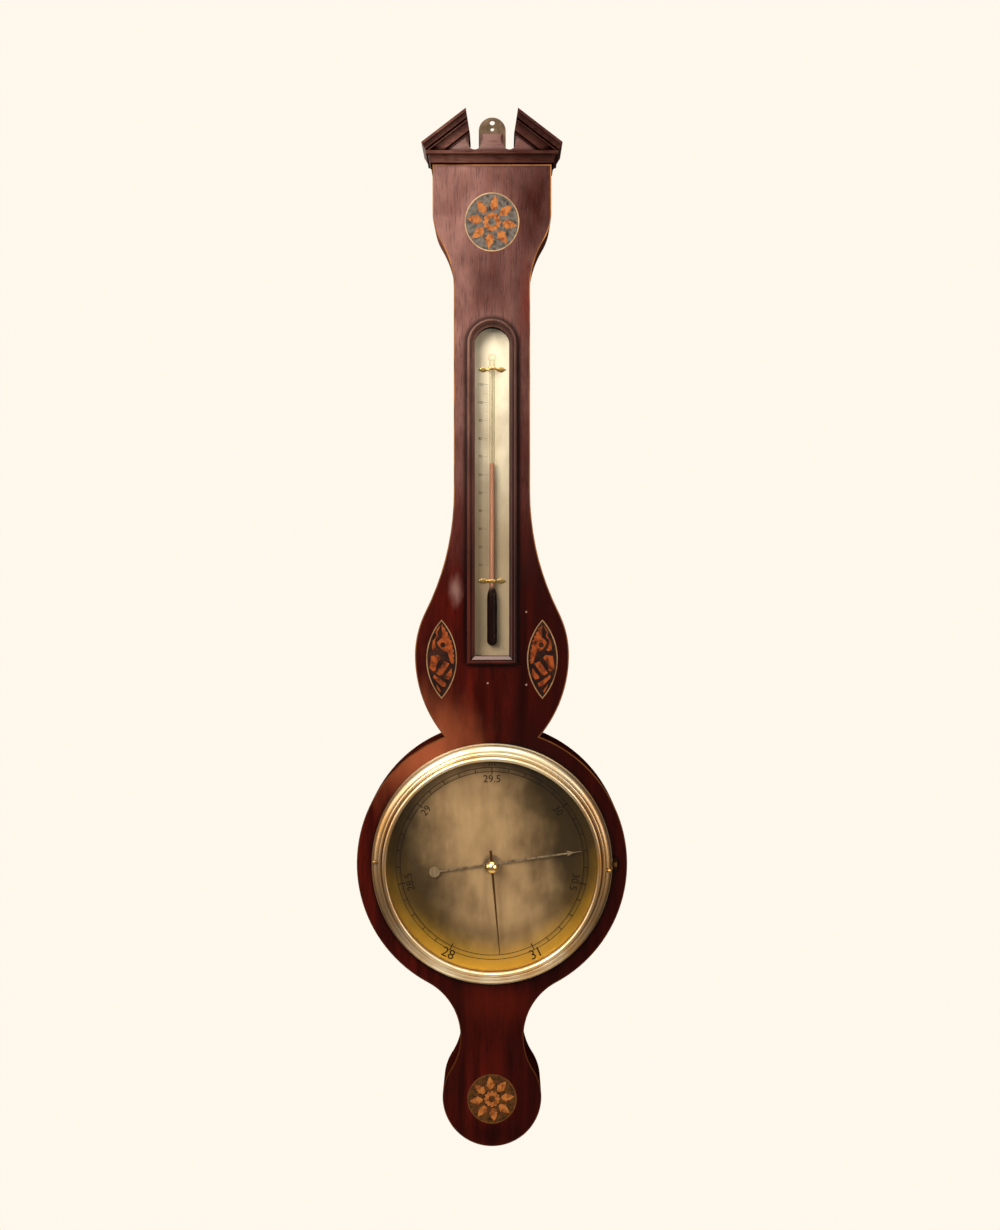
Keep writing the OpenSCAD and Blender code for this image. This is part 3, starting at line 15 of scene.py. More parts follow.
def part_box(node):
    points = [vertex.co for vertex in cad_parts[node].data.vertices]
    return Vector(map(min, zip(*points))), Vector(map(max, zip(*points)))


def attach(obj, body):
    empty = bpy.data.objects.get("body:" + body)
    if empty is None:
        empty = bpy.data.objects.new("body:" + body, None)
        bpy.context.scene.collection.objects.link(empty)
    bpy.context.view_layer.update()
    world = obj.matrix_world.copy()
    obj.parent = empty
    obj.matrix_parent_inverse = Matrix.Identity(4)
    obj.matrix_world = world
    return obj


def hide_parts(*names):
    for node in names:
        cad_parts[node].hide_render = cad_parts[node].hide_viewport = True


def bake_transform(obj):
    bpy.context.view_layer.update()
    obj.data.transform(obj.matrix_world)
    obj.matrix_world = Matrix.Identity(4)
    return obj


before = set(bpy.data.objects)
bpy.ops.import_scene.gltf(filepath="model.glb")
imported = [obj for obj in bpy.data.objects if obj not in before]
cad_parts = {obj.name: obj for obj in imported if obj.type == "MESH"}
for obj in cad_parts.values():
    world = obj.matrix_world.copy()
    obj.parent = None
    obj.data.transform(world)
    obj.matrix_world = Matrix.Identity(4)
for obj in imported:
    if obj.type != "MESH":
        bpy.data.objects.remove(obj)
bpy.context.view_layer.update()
MM = 0.001

# %% [markdown]
# ## Measures
# Everything is placed from the solids, so the script asks the frame where they are. The front faces -Y.

# %% Places on the object
dial_low, dial_high = (Vector(corner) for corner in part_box("dial_plate"))
DIAL = Vector(((dial_low.x + dial_high.x) / 2, dial_low.y, (dial_low.z + dial_high.z) / 2))
FRONT_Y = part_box("front_veneer")[0][1]
print("dial centre, metres:", [round(v, 4) for v in DIAL])

# %% [markdown]
# ## Camera
# The photograph shows the case square on, from about the height of the trunk's middle. One pixel is
# 0.932 mm on the front face. The camera looks level, and a small shift frames the foot.

# %% Camera
PIXEL = 0.932 * MM
IMAGE_H = 1230
IMAGE_MID = (500, 615)
CENTRE_LINE_X = 492
DIAL_ROW = 863.5
EYE_ROW = 550
EYE_DISTANCE = 1.2
SENSOR = 36

camera_data = bpy.data.cameras.new("camera")
camera_data.sensor_width = SENSOR
camera_data.lens = SENSOR * EYE_DISTANCE / (IMAGE_H * PIXEL)
camera_data.shift_y = (EYE_ROW - IMAGE_MID[1]) / IMAGE_H
camera = bpy.data.objects.new("camera", camera_data)
camera.location = (
    DIAL.x + (IMAGE_MID[0] - CENTRE_LINE_X) * PIXEL,
    FRONT_Y - EYE_DISTANCE,
    DIAL.z + (DIAL_ROW - EYE_ROW) * PIXEL,
)
camera.rotation_euler = (math.radians(90), 0, 0)
bpy.context.collection.objects.link(camera)
bpy.context.scene.camera = camera
print("lens, mm:", round(camera_data.lens, 1))

# %% [markdown]
# ## Node helpers
# One function adds a node: its settings are plain properties, and each input gets a value, a colour code
# or another node's output. Colours are sRGB hex, as a paint chart gives them, and are turned to linear.
# Two sets of settings recur: a Mix node for colours, with its inputs 6 and 7, and a soft Map Range.

# %% Helpers
COLOUR = {"out": 2, "data_type": "RGBA"}
SOFT = {"interpolation_type": "SMOOTHSTEP"}


def linear(code):
    """An sRGB hex colour as the linear RGBA that shaders use."""
    channels = [int(code[k:k + 2], 16) / 255 for k in (1, 3, 5)]
    return [c / 12.92 if c <= 0.04045 else ((c + 0.055) / 1.055) ** 2.4 for c in channels] + [1.0]


def put(tree, kind, inputs=None, out=0, **settings):
    """Add a node with its settings, and values or links on its inputs; return one of its outputs."""
    node = tree.nodes.new(kind)
    for name, value in settings.items():
        setattr(node, name, value)
    for key, value in (inputs or {}).items():
        if isinstance(value, bpy.types.NodeSocket):
            tree.links.new(value, node.inputs[key])
        else:
            node.inputs[key].default_value = linear(value) if isinstance(value, str) else value
    return node.outputs[out] if len(node.outputs) else node


def wear(shader, **outputs):
    """Link outputs to a shader's inputs; an underscore stands for a space."""
    for key, value in outputs.items():
        shader.id_data.links.new(value, shader.inputs[key.replace("_", " ")])


def new_finish(name, **sockets):
    """An empty material: the material, its tree, its shader and its Object coordinates."""
    finish = bpy.data.materials.new(name)
    finish.use_nodes = True
    tree = finish.node_tree
    shader = tree.nodes["Principled BSDF"]
    for key, value in sockets.items():
        shader.inputs[key.replace("_", " ")].default_value = value
    return finish, tree, shader, put(tree, "ShaderNodeTexCoord", out="Object")


def reopened(finish):
    """A finish that gets another layer: its tree, shader, Object coordinates and present colour."""
    tree = finish.node_tree
    shader = tree.nodes["Principled BSDF"]
    colour = shader.inputs["Base Color"].links[0].from_socket
    return tree, shader, put(tree, "ShaderNodeTexCoord", out="Object"), colour


def blotches(tree, place, size_mm, detail=3.0, twist=0.0):
    """Noise whose blotches have a given size in millimetres along X, Y and Z."""
    scaled = put(tree, "ShaderNodeMapping", {"Vector": place, "Scale": [1 / (s * MM) for s in size_mm]})
    return put(tree, "ShaderNodeTexNoise", {0: scaled, "Scale": 1.0, "Detail": detail, "Distortion": twist})


print("helpers ready")

# %% [markdown]
# ## Mahogany
# The case is mahogany: straight brown-red ribbons about a centimetre wide, and short dark pores. French
# polish fills it and shines like a thin clear coat. A window sheen is painted on, so the head and the left
# side are paler, and the wood is painted darker to the right, as shade. Painted shade also lies in the
# hollows of the mouldings and along the veneer beside them, from an occlusion node.
# Pores are a fifth of a millimetre wide, too fine to show, so they are drawn about five times as coarse.

# %% Mahogany
RIBBON_MM, RIBBON_LONG = 11, 14
PORE_MM, PORE_LONG = 1.0, 12
PORE_DEEP = 0.06 * MM
CLOUD_MM = (60, 60, 100)
PATCH_MM = (24, 24, 38.4)
# Reach and tint of the painted shade in hollows; height and sides of the painted window sheen; where the
# painted shade to the right begins and ends.
HOLLOW_SHADE_REACH = 5 * MM
HOLLOW_SHADE_TINT = "#080101"
SHEEN_FROM, SHEEN_TO = DIAL.z + 0.25, DIAL.z + 0.5
SHEEN_LEFT, SHEEN_RIGHT = -0.036, 0.035
WINDOW_X, SHADE_X = -0.012, 0.05


def mahogany(name, dark, light, sheen_tint, polish=0.1, along="Z", hollow_shade=0.0, rough=0.2, shine=0.1):
    """Polished mahogany with its grain along an axis, a painted window sheen and shade, and painted shade
    in its hollows.
    """
    finish, tree, shader, place = new_finish(
        name, IOR=1.5, Specular_IOR_Level=shine, Coat_Weight=polish, Coat_Roughness=0.04)
    ribbon_size = [RIBBON_MM * (RIBBON_LONG if axis == along else 1) for axis in "XYZ"]
    pore_size = [PORE_MM * (PORE_LONG if axis == along else 1) for axis in "XYZ"]
    ribbons = blotches(tree, place, ribbon_size, detail=4, twist=0.5)
    clouds = blotches(tree, place, CLOUD_MM, detail=4)
    patches = blotches(tree, place, PATCH_MM, detail=6, twist=0.3)
    pores = blotches(tree, place, pore_size, detail=3)
    across = put(tree, "ShaderNodeSeparateXYZ", {0: place}, out="X")
    height = put(tree, "ShaderNodeSeparateXYZ", {0: place}, out="Z")

    ribbon = put(tree, "ShaderNodeMapRange", {0: ribbons, 1: 0.3, 2: 0.7})
    wood = put(tree, "ShaderNodeMix", {0: ribbon, 6: dark, 7: light}, **COLOUR)
    # Painted light: darker to the right as painted shade, and paler on the head and the left as painted
    # window sheen, broken in patches.
    shade_to_right = put(tree, "ShaderNodeMapRange", {0: across, 1: WINDOW_X, 2: SHADE_X, 4: 0.7}, **SOFT)
    shade = put(tree, "ShaderNodeMapRange", {0: clouds, 1: 0.38, 2: 0.72, 4: 0.7})
    window_sheen = put(tree, "ShaderNodeMapRange", {0: height, 1: SHEEN_FROM, 2: SHEEN_TO}, **SOFT)
    sheen_gaps = put(tree, "ShaderNodeMapRange", {0: patches, 1: 0.38, 2: 0.62, 3: 1.0, 4: 0.55})
    facing = put(tree, "ShaderNodeMapRange",
                 {0: across, 1: SHEEN_LEFT, 2: SHEEN_RIGHT, 3: 1.0, 4: 0.4}, **SOFT)
    for share in (sheen_gaps, facing):
        window_sheen = put(tree, "ShaderNodeMath", {0: window_sheen, 1: share}, operation="MULTIPLY")
    pore = put(tree, "ShaderNodeMapRange", {0: pores, 1: 0.52, 2: 0.7})
    filled = put(tree, "ShaderNodeMath", {0: pore, 1: 0.55}, operation="MULTIPLY")
    layers = [(shade_to_right, dark), (shade, dark), (window_sheen, sheen_tint), (filled, dark)]
    # Painted shade in the hollows, where the occlusion node finds surfaces close by.
    if hollow_shade:
        open_sky = put(tree, "ShaderNodeAmbientOcclusion", {"Distance": HOLLOW_SHADE_REACH}, out="AO", samples=8)
        hollow = put(tree, "ShaderNodeMapRange", {0: open_sky, 1: 0.7, 2: 0.98, 3: hollow_shade, 4: 0.0})
        layers.append((hollow, HOLLOW_SHADE_TINT))
    for share, tint in layers:
        wood = put(tree, "ShaderNodeMix", {0: share, 6: wood, 7: tint}, **COLOUR)
    gloss = put(tree, "ShaderNodeMapRange", {0: clouds, 1: 0.3, 2: 0.7, 3: rough, 4: rough + 0.12})
    bump = put(tree, "ShaderNodeBump", {"Height": pore, "Distance": PORE_DEEP}, invert=True)
    wear(shader, Base_Color=wood, Roughness=gloss, Normal=bump)
    return finish


# The third colour of each finish is its painted window sheen; the keyword for hollows sets how much painted
# shade they get.
veneer = mahogany("mahogany_veneer_french_polished", "#180100", "#470d05", "#7a5751", hollow_shade=0.8)
# The mouldings' colours are darker than the veneer's, partly as painted shade for their coves.
moulding = mahogany("mahogany_moulding_polished", "#140202", "#341009", "#583a33",
                    along="X", hollow_shade=1.0, polish=0.03, rough=0.42, shine=0.0)
frame_wood = mahogany("mahogany_thermometer_frame", "#180302", "#4a1a11", "#6c4c42",
                      hollow_shade=1.0, polish=0.03, rough=0.42)
# The box inside the thermometer's frame is painted almost black, as shade in the deep recess.
box_in_shade = mahogany("mahogany_box_painted_shade", "#0c0202", "#1e0906", "#1e0906",
                    polish=0.0, rough=0.5, shine=0.0)
tympanum_wood = mahogany("mahogany_tympanum", "#3a1510", "#5c3028", "#705651",
                         along="X", hollow_shade=0.9, polish=0.03, rough=0.42)
sides = mahogany("mahogany_case_sides", "#180302", "#3c120b", "#6a463c", polish=0.0, rough=0.5, shine=0.0)
covers = mahogany("mahogany_back_boards_bare", "#4a2416", "#7a4a30", "#7d5138", polish=0.0, rough=0.6)
slip_wood = mahogany("mahogany_slip_varnished", "#3a1c14", "#7c5446", "#a08070", polish=1.0, along="X")
woods = (veneer, moulding, frame_wood, box_in_shade, tympanum_wood, sides, covers, slip_wood)
print("mahogany finishes:", [finish.name for finish in woods])

# %% [markdown]
# ## Figure of the veneer
# A sheet of veneer is never even. This one has a paler patch above the dial on the left, painted where the
# light from the left falls, dark clouds on the head that break the painted sheen, warm streaks, a painted
# shade at the foot, one spot where the polish is rubbed through and three nail holes plugged with pale wax.
# Each is a soft ellipse, broken up by the same kind of noise as the grain. The table gives its middle from
# the dial's centre and its half sizes in millimetres, its tint, its strength and the grain of its edge.

# %% Figure
FIGURE = {
    # Painted light: a paler patch where the light from the left falls, and a painted shade at the foot.
    "painted light above the dial, left": ((-64, 104), (57, 62), "#84442a", 0.85, 20),
    "rubbed spot": ((-34, 255), (7, 15), "#7e625c", 0.6, 5),
    "cloud under the flower": ((-4, 545), (32, 36), "#30100a", 0.75, 9),
    "cloud beside the flower": ((40, 614), (30, 46), "#260804", 0.95, 8),
    "warm streak at the neck": ((34, 520), (12, 50), "#561608", 0.5, 8),
    "painted shade at the foot": ((0, -252), (40, 18), "#140000", 0.8, 10),
    "plugged nail hole, high": ((32, 234.5), (1.1, 1.1), "#b89a88", 0.6, 0.7),
    "plugged nail hole, low right": ((32, 166.5), (1.1, 1.1), "#b89a88", 0.6, 0.7),
    "plugged nail hole, low left": ((-4, 168), (1.1, 1.1), "#b89a88", 0.6, 0.7),
    "warm streak under the dial": ((2, -128), (44, 24), "#521406", 0.4, 12),
}
tree, shader, place, wood = reopened(veneer)
for (x, z), (wide, high), tint, most, rough_mm in FIGURE.values():
    centred = put(tree, "ShaderNodeVectorMath", {0: place, 1: (DIAL.x + x * MM, 0, DIAL.z + z * MM)},
                  operation="SUBTRACT")
    scaled = put(tree, "ShaderNodeVectorMath", {0: centred, 1: (1 / (wide * MM), 0, 1 / (high * MM))},
                 operation="MULTIPLY")
    reach = put(tree, "ShaderNodeVectorMath", {0: scaled}, out="Value", operation="LENGTH")
    broken = blotches(tree, place, [rough_mm, rough_mm, 3 * rough_mm], detail=5)
    edge = put(tree, "ShaderNodeMath", {0: reach, 1: broken}, operation="ADD")
    share = put(tree, "ShaderNodeMapRange", {0: edge, 1: 0.45, 2: 1.75, 3: most, 4: 0.0}, **SOFT)
    wood = put(tree, "ShaderNodeMix", {0: share, 6: wood, 7: tint}, **COLOUR)
wear(shader, Base_Color=wood)
print("figure on", veneer.name + ":", list(FIGURE))

# %% [markdown]
# ## The bare back
# The carcass's sides are polished, but nobody polishes a back that hangs on a wall, so there the wood is
# dry, paler and sawn. The back is the plane y = 0, so a step on Y finds it.

# %% Bare back
BACK_SKIN = 0.2 * MM
SAW_MM = (5, 5, 90)
tree, shader, place, polished = reopened(sides)
depth = put(tree, "ShaderNodeSeparateXYZ", {0: place}, out="Y")
on_back = put(tree, "ShaderNodeMath", {0: depth, 1: -BACK_SKIN}, operation="GREATER_THAN")
sawn = blotches(tree, place, SAW_MM, detail=5, twist=0.3)
sawn = put(tree, "ShaderNodeMapRange", {0: sawn, 1: 0.3, 2: 0.7})
dry = put(tree, "ShaderNodeMix", {0: sawn, 6: "#5d3722", 7: "#8a5a3c"}, **COLOUR)
both = put(tree, "ShaderNodeMix", {0: on_back, 6: polished, 7: dry}, **COLOUR)
smooth = shader.inputs["Roughness"].links[0].from_socket
gloss = put(tree, "ShaderNodeMix", {0: on_back, 2: smooth, 3: 0.75})
wear(shader, Base_Color=both, Roughness=gloss)
print("bare back on", sides.name)

# %% [markdown]
# ## Inlay woods
# Light lines and ornaments are boxwood and satinwood, cut as thin as the veneer and glued in. Petals and
# shells are scorched in hot sand, which gives them a soft brown shade. The grounds behind them are stained
# sycamore: brown at the foot and almost black behind the shells. Above the dial the lines, rims and grounds
# take paler, greyer colours, the same painted window sheen as on the head of the veneer.

# %% Inlays
FIBRE_MM = (0.9, 0.9, 9)
FIBRE_DEEP = 0.03 * MM
SHEEN_RISE = 0.45


def inlay(name, pale, scorched, blotch_mm, high_pale=None, high_scorched=None, shine=0.16):
    """A fine pale wood with scorched or stained blotches, which may take paler colours of painted sheen
    above the dial.
    """
    finish, tree, shader, place = new_finish(
        name, Roughness=0.35, IOR=1.5, Specular_IOR_Level=shine, Coat_Weight=shine / 2, Coat_Roughness=0.1)
    fine = blotches(tree, place, FIBRE_MM, detail=2)
    scorch = blotches(tree, place, [blotch_mm] * 3)
    scorch = put(tree, "ShaderNodeMapRange", {0: scorch, 1: 0.42, 2: 0.72})
    # Above the dial: colours of the painted window sheen.
    if high_pale:
        height = put(tree, "ShaderNodeSeparateXYZ", {0: place}, out="Z")
        above = put(tree, "ShaderNodeMapRange", {0: height, 1: DIAL.z, 2: DIAL.z + SHEEN_RISE})
        pale = put(tree, "ShaderNodeMix", {0: above, 6: pale, 7: high_pale}, **COLOUR)
        scorched = put(tree, "ShaderNodeMix", {0: above, 6: scorched, 7: high_scorched}, **COLOUR)
    wood = put(tree, "ShaderNodeMix", {0: scorch, 6: pale, 7: scorched}, **COLOUR)
    lines = put(tree, "ShaderNodeMapRange", {0: fine, 1: 0.5, 2: 0.8, 4: 0.35})
    wood = put(tree, "ShaderNodeMix", {0: lines, 6: wood, 7: scorched}, **COLOUR)
    bump = put(tree, "ShaderNodeBump", {"Height": fine, "Distance": FIBRE_DEEP})
    wear(shader, Base_Color=wood, Normal=bump)
    return finish


stringing = inlay("boxwood_stringing", "#43230f", "#241006", 24, "#8f6038", "#57331c", shine=0.0)
rims = inlay("boxwood_rims_round_inlays", "#5c3818", "#331b0a", 12, "#a88a68", "#755638")
petals = inlay("satinwood_petals_sand_scorched", "#955a2a", "#5a280e", 3.5)
shells = inlay("boxwood_shells_sand_scorched", "#7e3a16", "#2c0e05", 5)
patera_ground = inlay("sycamore_ground_stained", "#4a2c10", "#190c04", 4, "#57504a", "#1b1613")
shell_ground = inlay("sycamore_ground_dark", "#120504", "#2c150a", 8)
inlays = (stringing, rims, petals, shells, patera_ground, shell_ground)
print("inlays:", [finish.name for finish in inlays])

# %% [markdown]
# ## Brass and steel
# The bezel is cast brass turned on a lathe, lacquered long ago and now toned brown in patches. Plates and
# hinges are rolled sheet, duller and darker.

# %% Brass
SPECK_MM = 1.5
SPECK_HIGH = 0.0002 * MM


def brass(name, bright, toned, rough, blotch_mm=14):
    """Metal with darker toning in clouds, and fine specks of grime."""
    finish, tree, shader, place = new_finish(name, Metallic=1.0)
    cloud = blotches(tree, place, [blotch_mm] * 3, detail=4)
    grime = blotches(tree, place, [SPECK_MM] * 3, detail=2)
    tone = put(tree, "ShaderNodeMapRange", {0: cloud, 1: 0.4, 2: 0.75})
    specks = put(tree, "ShaderNodeMapRange", {0: grime, 1: 0.66, 2: 0.82, 4: 0.3})
    metal = put(tree, "ShaderNodeMix", {0: tone, 6: bright, 7: toned}, **COLOUR)
    metal = put(tree, "ShaderNodeMix", {0: specks, 6: metal, 7: toned}, **COLOUR)
    gloss = put(tree, "ShaderNodeMapRange", {0: cloud, 1: 0.3, 2: 0.7, 3: rough, 4: rough + 0.14})
    bump = put(tree, "ShaderNodeBump", {"Height": grime, "Strength": 0.4, "Distance": SPECK_HIGH})
    wear(shader, Base_Color=metal, Roughness=gloss, Normal=bump)
    return finish


bezel_brass = brass("cast_brass_turned_bezel", "#fdf0d2", "#d3a866", 0.36, blotch_mm=30)
sheet_brass = brass("rolled_brass_sheet_aged", "#b08a50", "#6f4e28", 0.34)
knob_brass = brass("turned_brass_knob", "#ecc985", "#a87c40", 0.2, blotch_mm=6)
hanger_brass = brass("hammered_brass_plate_dull", "#5a4a3b", "#382c22", 0.5, blotch_mm=9)
needle_brass = brass("oxidised_brass_needle", "#6a4a26", "#3b2611", 0.4)
steel = brass("steel_arbor_and_screws", "#8d8a86", "#4f4a45", 0.35, blotch_mm=5)
metals = (bezel_brass, sheet_brass, knob_brass, hanger_brass, needle_brass, steel)
print("metals:", [finish.name for finish in metals])

# %% [markdown]
# ## Painted highlight and shade on the bezel
# Lacquer on the bezel is bright below. Its top is painted paler, as a highlight of the light from above,
# and both sides darker and browner, as painted shade. The hinge's knuckles stand outside the ring, and
# nobody can polish between them, so they are dark.

# %% Bezel's painted highlight and shade
BEZEL_R = 112.2 * MM
PER_BEZEL = (1 / BEZEL_R, 0, 1 / BEZEL_R)
tree, shader, place, metal = reopened(bezel_brass)
centred = put(tree, "ShaderNodeVectorMath", {0: place, 1: (DIAL.x, 0, DIAL.z)}, operation="SUBTRACT")
flat = put(tree, "ShaderNodeVectorMath", {0: centred, 1: PER_BEZEL}, operation="MULTIPLY")
upward = put(tree, "ShaderNodeSeparateXYZ", {0: flat}, out="Z")
# Painted highlight on the top of the ring, and painted shade at both sides.
top_highlight = put(tree, "ShaderNodeMapRange", {0: upward, 1: 0.2, 2: 1.0, 4: 0.6})
sideways = put(tree, "ShaderNodeSeparateXYZ", {0: flat}, out="X")
sideways = put(tree, "ShaderNodeMath", {0: sideways}, operation="ABSOLUTE")
brown = put(tree, "ShaderNodeMapRange", {0: sideways, 1: 0.4, 2: 0.9, 4: 0.8}, **SOFT)
from_centre = put(tree, "ShaderNodeVectorMath", {0: flat}, out="Value", operation="LENGTH")
beyond = put(tree, "ShaderNodeMath", {0: from_centre, 1: 1.0}, operation="GREATER_THAN")
for share, tint in ((top_highlight, "#c4b797"), (brown, "#7e510e"), (beyond, "#2c1a0c")):
    metal = put(tree, "ShaderNodeMix", {0: share, 6: metal, 7: tint}, **COLOUR)
wear(shader, Base_Color=metal)
print("toning on", bezel_brass.name)

# %% [markdown]
# ## Silvered brass
# Dial, scale and index hand are brass rubbed with a silvering paste and lacquered. The strokes run up and
# down and leave upright streaks. The function also hands out its noise, because the colours follow it.

# %% Silvering
LACQUER_CLOUD_MM = (22, 22, 34)
STROKE_DEEP = 0.02 * MM


def silvered(name, stroke_mm, rough=0.36, metal=0.15):
    """Lacquered silvering with upright streaks; returns the parts that the colours are built from."""
    finish, tree, shader, place = new_finish(name, Metallic=metal, Specular_IOR_Level=0.3)
    streaks = blotches(tree, place, [stroke_mm, stroke_mm, stroke_mm * 6], detail=3)
    clouds = blotches(tree, place, LACQUER_CLOUD_MM, detail=4)
    gloss = put(tree, "ShaderNodeMapRange", {0: clouds, 1: 0.3, 2: 0.7, 3: rough, 4: rough + 0.15})
    bump = put(tree, "ShaderNodeBump", {"Height": streaks, "Distance": STROKE_DEEP})
    wear(shader, Roughness=gloss, Normal=bump)
    streak = put(tree, "ShaderNodeMapRange", {0: streaks, 1: 0.3, 2: 0.7})
    return finish, tree, shader, place, streak, clouds


hand_silver, tree, shader, _, streak, _ = silvered("silvered_brass_hand", 4, rough=0.3, metal=0.6)
face = put(tree, "ShaderNodeMix", {0: streak, 6: "#695a4c", 7: "#a08d75"}, **COLOUR)
wear(shader, Base_Color=face)
print("silvered:", hand_silver.name)

# %% [markdown]
# ## The dial, mottled, with painted light
# The dial is mottled. A bright leaning band through its middle is a painted reflection, and both sides are
# painted darker, as shade. Round the rim lies the painted shadow of the bezel, and below an amber glow with
# a brown edge is painted, as light thrown back from the bezel.

# %% Silvered dial
DIAL_R = (dial_high.x - dial_low.x) / 2
# Painted light: the band is a painted reflection, the sides painted shade, the rim the bezel's painted
# shadow, and the amber below painted light thrown back from the bezel.
RIM_FROM, RIM_TO = (0.8 * DIAL_R, 0.92 * DIAL_R), 0.98 * DIAL_R
BAND_LEFT, BAND_LEAN = 4 * MM, 0.35
BAND_HALF, BAND_SOFT = 8 * MM, 70 * MM
AMBER_CENTRE = (0, 0, 24 * MM)
AMBER_R, AMBER_SOFT = 90 * MM, 36 * MM
BROWN_INSIDE = 12 * MM
UNEVEN = 10 * MM
AMBER_UNEVEN = -0.35

dial_silver, tree, shader, place, streak, clouds = silvered("silvered_brass_dial_mottled_painted_light", 13)
centred = put(tree, "ShaderNodeVectorMath", {0: place, 1: DIAL}, operation="SUBTRACT")
flat = put(tree, "ShaderNodeVectorMath", {0: centred, 1: (1, 0, 1)}, operation="MULTIPLY")
uneven = put(tree, "ShaderNodeMapRange", {0: clouds, 1: 0.3, 2: 0.7, 3: -UNEVEN, 4: UNEVEN})
mottle = put(tree, "ShaderNodeMapRange", {0: clouds, 1: 0.4, 2: 0.7, 4: 0.4})

# Painted shade at both sides of the painted reflection band.
aside = put(tree, "ShaderNodeVectorMath", {0: flat, 1: (1, 0, BAND_LEAN)}, out="Value",
            operation="DOT_PRODUCT")
aside = put(tree, "ShaderNodeMath", {0: aside, 1: BAND_LEFT}, operation="ADD")
aside = put(tree, "ShaderNodeMath", {0: aside}, operation="ABSOLUTE")
aside = put(tree, "ShaderNodeMath", {0: aside, 1: uneven}, operation="ADD")
dark = put(tree, "ShaderNodeMapRange", {0: aside, 1: BAND_HALF, 2: BAND_HALF + BAND_SOFT}, **SOFT)

# Painted shadow of the bezel round the rim.
radius = put(tree, "ShaderNodeVectorMath", {0: flat}, out="Value", operation="LENGTH")
rim_from = put(tree, "ShaderNodeMapRange", {0: clouds, 1: 0.3, 2: 0.7, 3: RIM_FROM[0], 4: RIM_FROM[1]})
rim = put(tree, "ShaderNodeMapRange", {0: radius, 1: rim_from, 2: RIM_TO, 4: 0.8})

# Painted light thrown back from the bezel: amber with a brown edge, below the centre.
below = put(tree, "ShaderNodeVectorMath", {0: flat, 1: AMBER_CENTRE}, operation="SUBTRACT")
reach = put(tree, "ShaderNodeVectorMath", {0: below}, out="Value", operation="LENGTH")
reach = put(tree, "ShaderNodeMath", {0: uneven, 1: AMBER_UNEVEN, 2: reach}, operation="MULTIPLY_ADD")
brown = put(tree, "ShaderNodeMapRange", {0: reach, 1: AMBER_R - BROWN_INSIDE, 2: AMBER_R, 4: 0.45})
amber = put(tree, "ShaderNodeMapRange", {0: reach, 1: AMBER_R, 2: AMBER_R + AMBER_SOFT, 4: 0.8}, **SOFT)

face = put(tree, "ShaderNodeMix", {0: streak, 6: "#8c7358", 7: "#a78d6d"}, **COLOUR)
for share, tint in ((mottle, "#63492f"), (dark, "#2d200b"), (rim, "#33260f"), (brown, "#4a3712"),
                    (amber, "#c2962e")):
    face = put(tree, "ShaderNodeMix", {0: share, 6: face, 7: tint}, **COLOUR)
wear(shader, Base_Color=face)
print("silvered:", dial_silver.name)

# %% [markdown]
# ## The thermometer's scale
# Glass and frame kept dust and hands off this scale, so it is paler than the dial. It is painted paler
# towards its top, as a glare of reflected light, and darker along its left edge, as the painted shadow of
# the frame, and it has worn in clouds.

# %% Silvered scale
SCALE_LOW, SCALE_HIGH = (corner[2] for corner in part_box("thermometer_scale"))
SCALE_H = SCALE_HIGH - SCALE_LOW
PALE_FROM, PALE_TO = SCALE_LOW + 0.3 * SCALE_H, SCALE_LOW + 0.8 * SCALE_H
EDGE_FROM, EDGE_TO = DIAL.x - 11 * MM, DIAL.x + 1 * MM

scale_silver, tree, shader, place, _, clouds = silvered("silvered_brass_scale", 5.0, metal=0.0)
height = put(tree, "ShaderNodeSeparateXYZ", {0: place}, out="Z")
across = put(tree, "ShaderNodeSeparateXYZ", {0: place}, out="X")
# Painted glare: paler towards the top. Painted shadow of the frame: darker along the left edge.
rise = put(tree, "ShaderNodeMapRange", {0: height, 1: PALE_FROM, 2: PALE_TO}, **SOFT)
edge = put(tree, "ShaderNodeMapRange", {0: across, 1: EDGE_FROM, 2: EDGE_TO, 3: 0.4, 4: 0.0})
worn = put(tree, "ShaderNodeMapRange", {0: clouds, 1: 0.42, 2: 0.72, 4: 0.5})
face = put(tree, "ShaderNodeMix", {0: rise, 6: "#a39380", 7: "#f5efe4"}, **COLOUR)
for share, tint in ((edge, "#7a6852"), (worn, "#8f7f6a")):
    face = put(tree, "ShaderNodeMix", {0: share, 6: face, 7: tint}, **COLOUR)
wear(shader, Base_Color=face)
print("silvered:", scale_silver.name)

# %% [markdown]
# ## Glass and liquids
# Old window glass is thin and clear: you see through it, and it shines only at a slant. A refracting shader
# is slow and gives nothing here, so a Fresnel weight mixes plain transparency with a mirror. Only the outer
# face mirrors: from inside, a straight ray would meet a face that seems to mirror everything.

# %% Glass
WAVE_DEEP = 0.1 * MM
DRIFT_MM = (4, 4, 30)


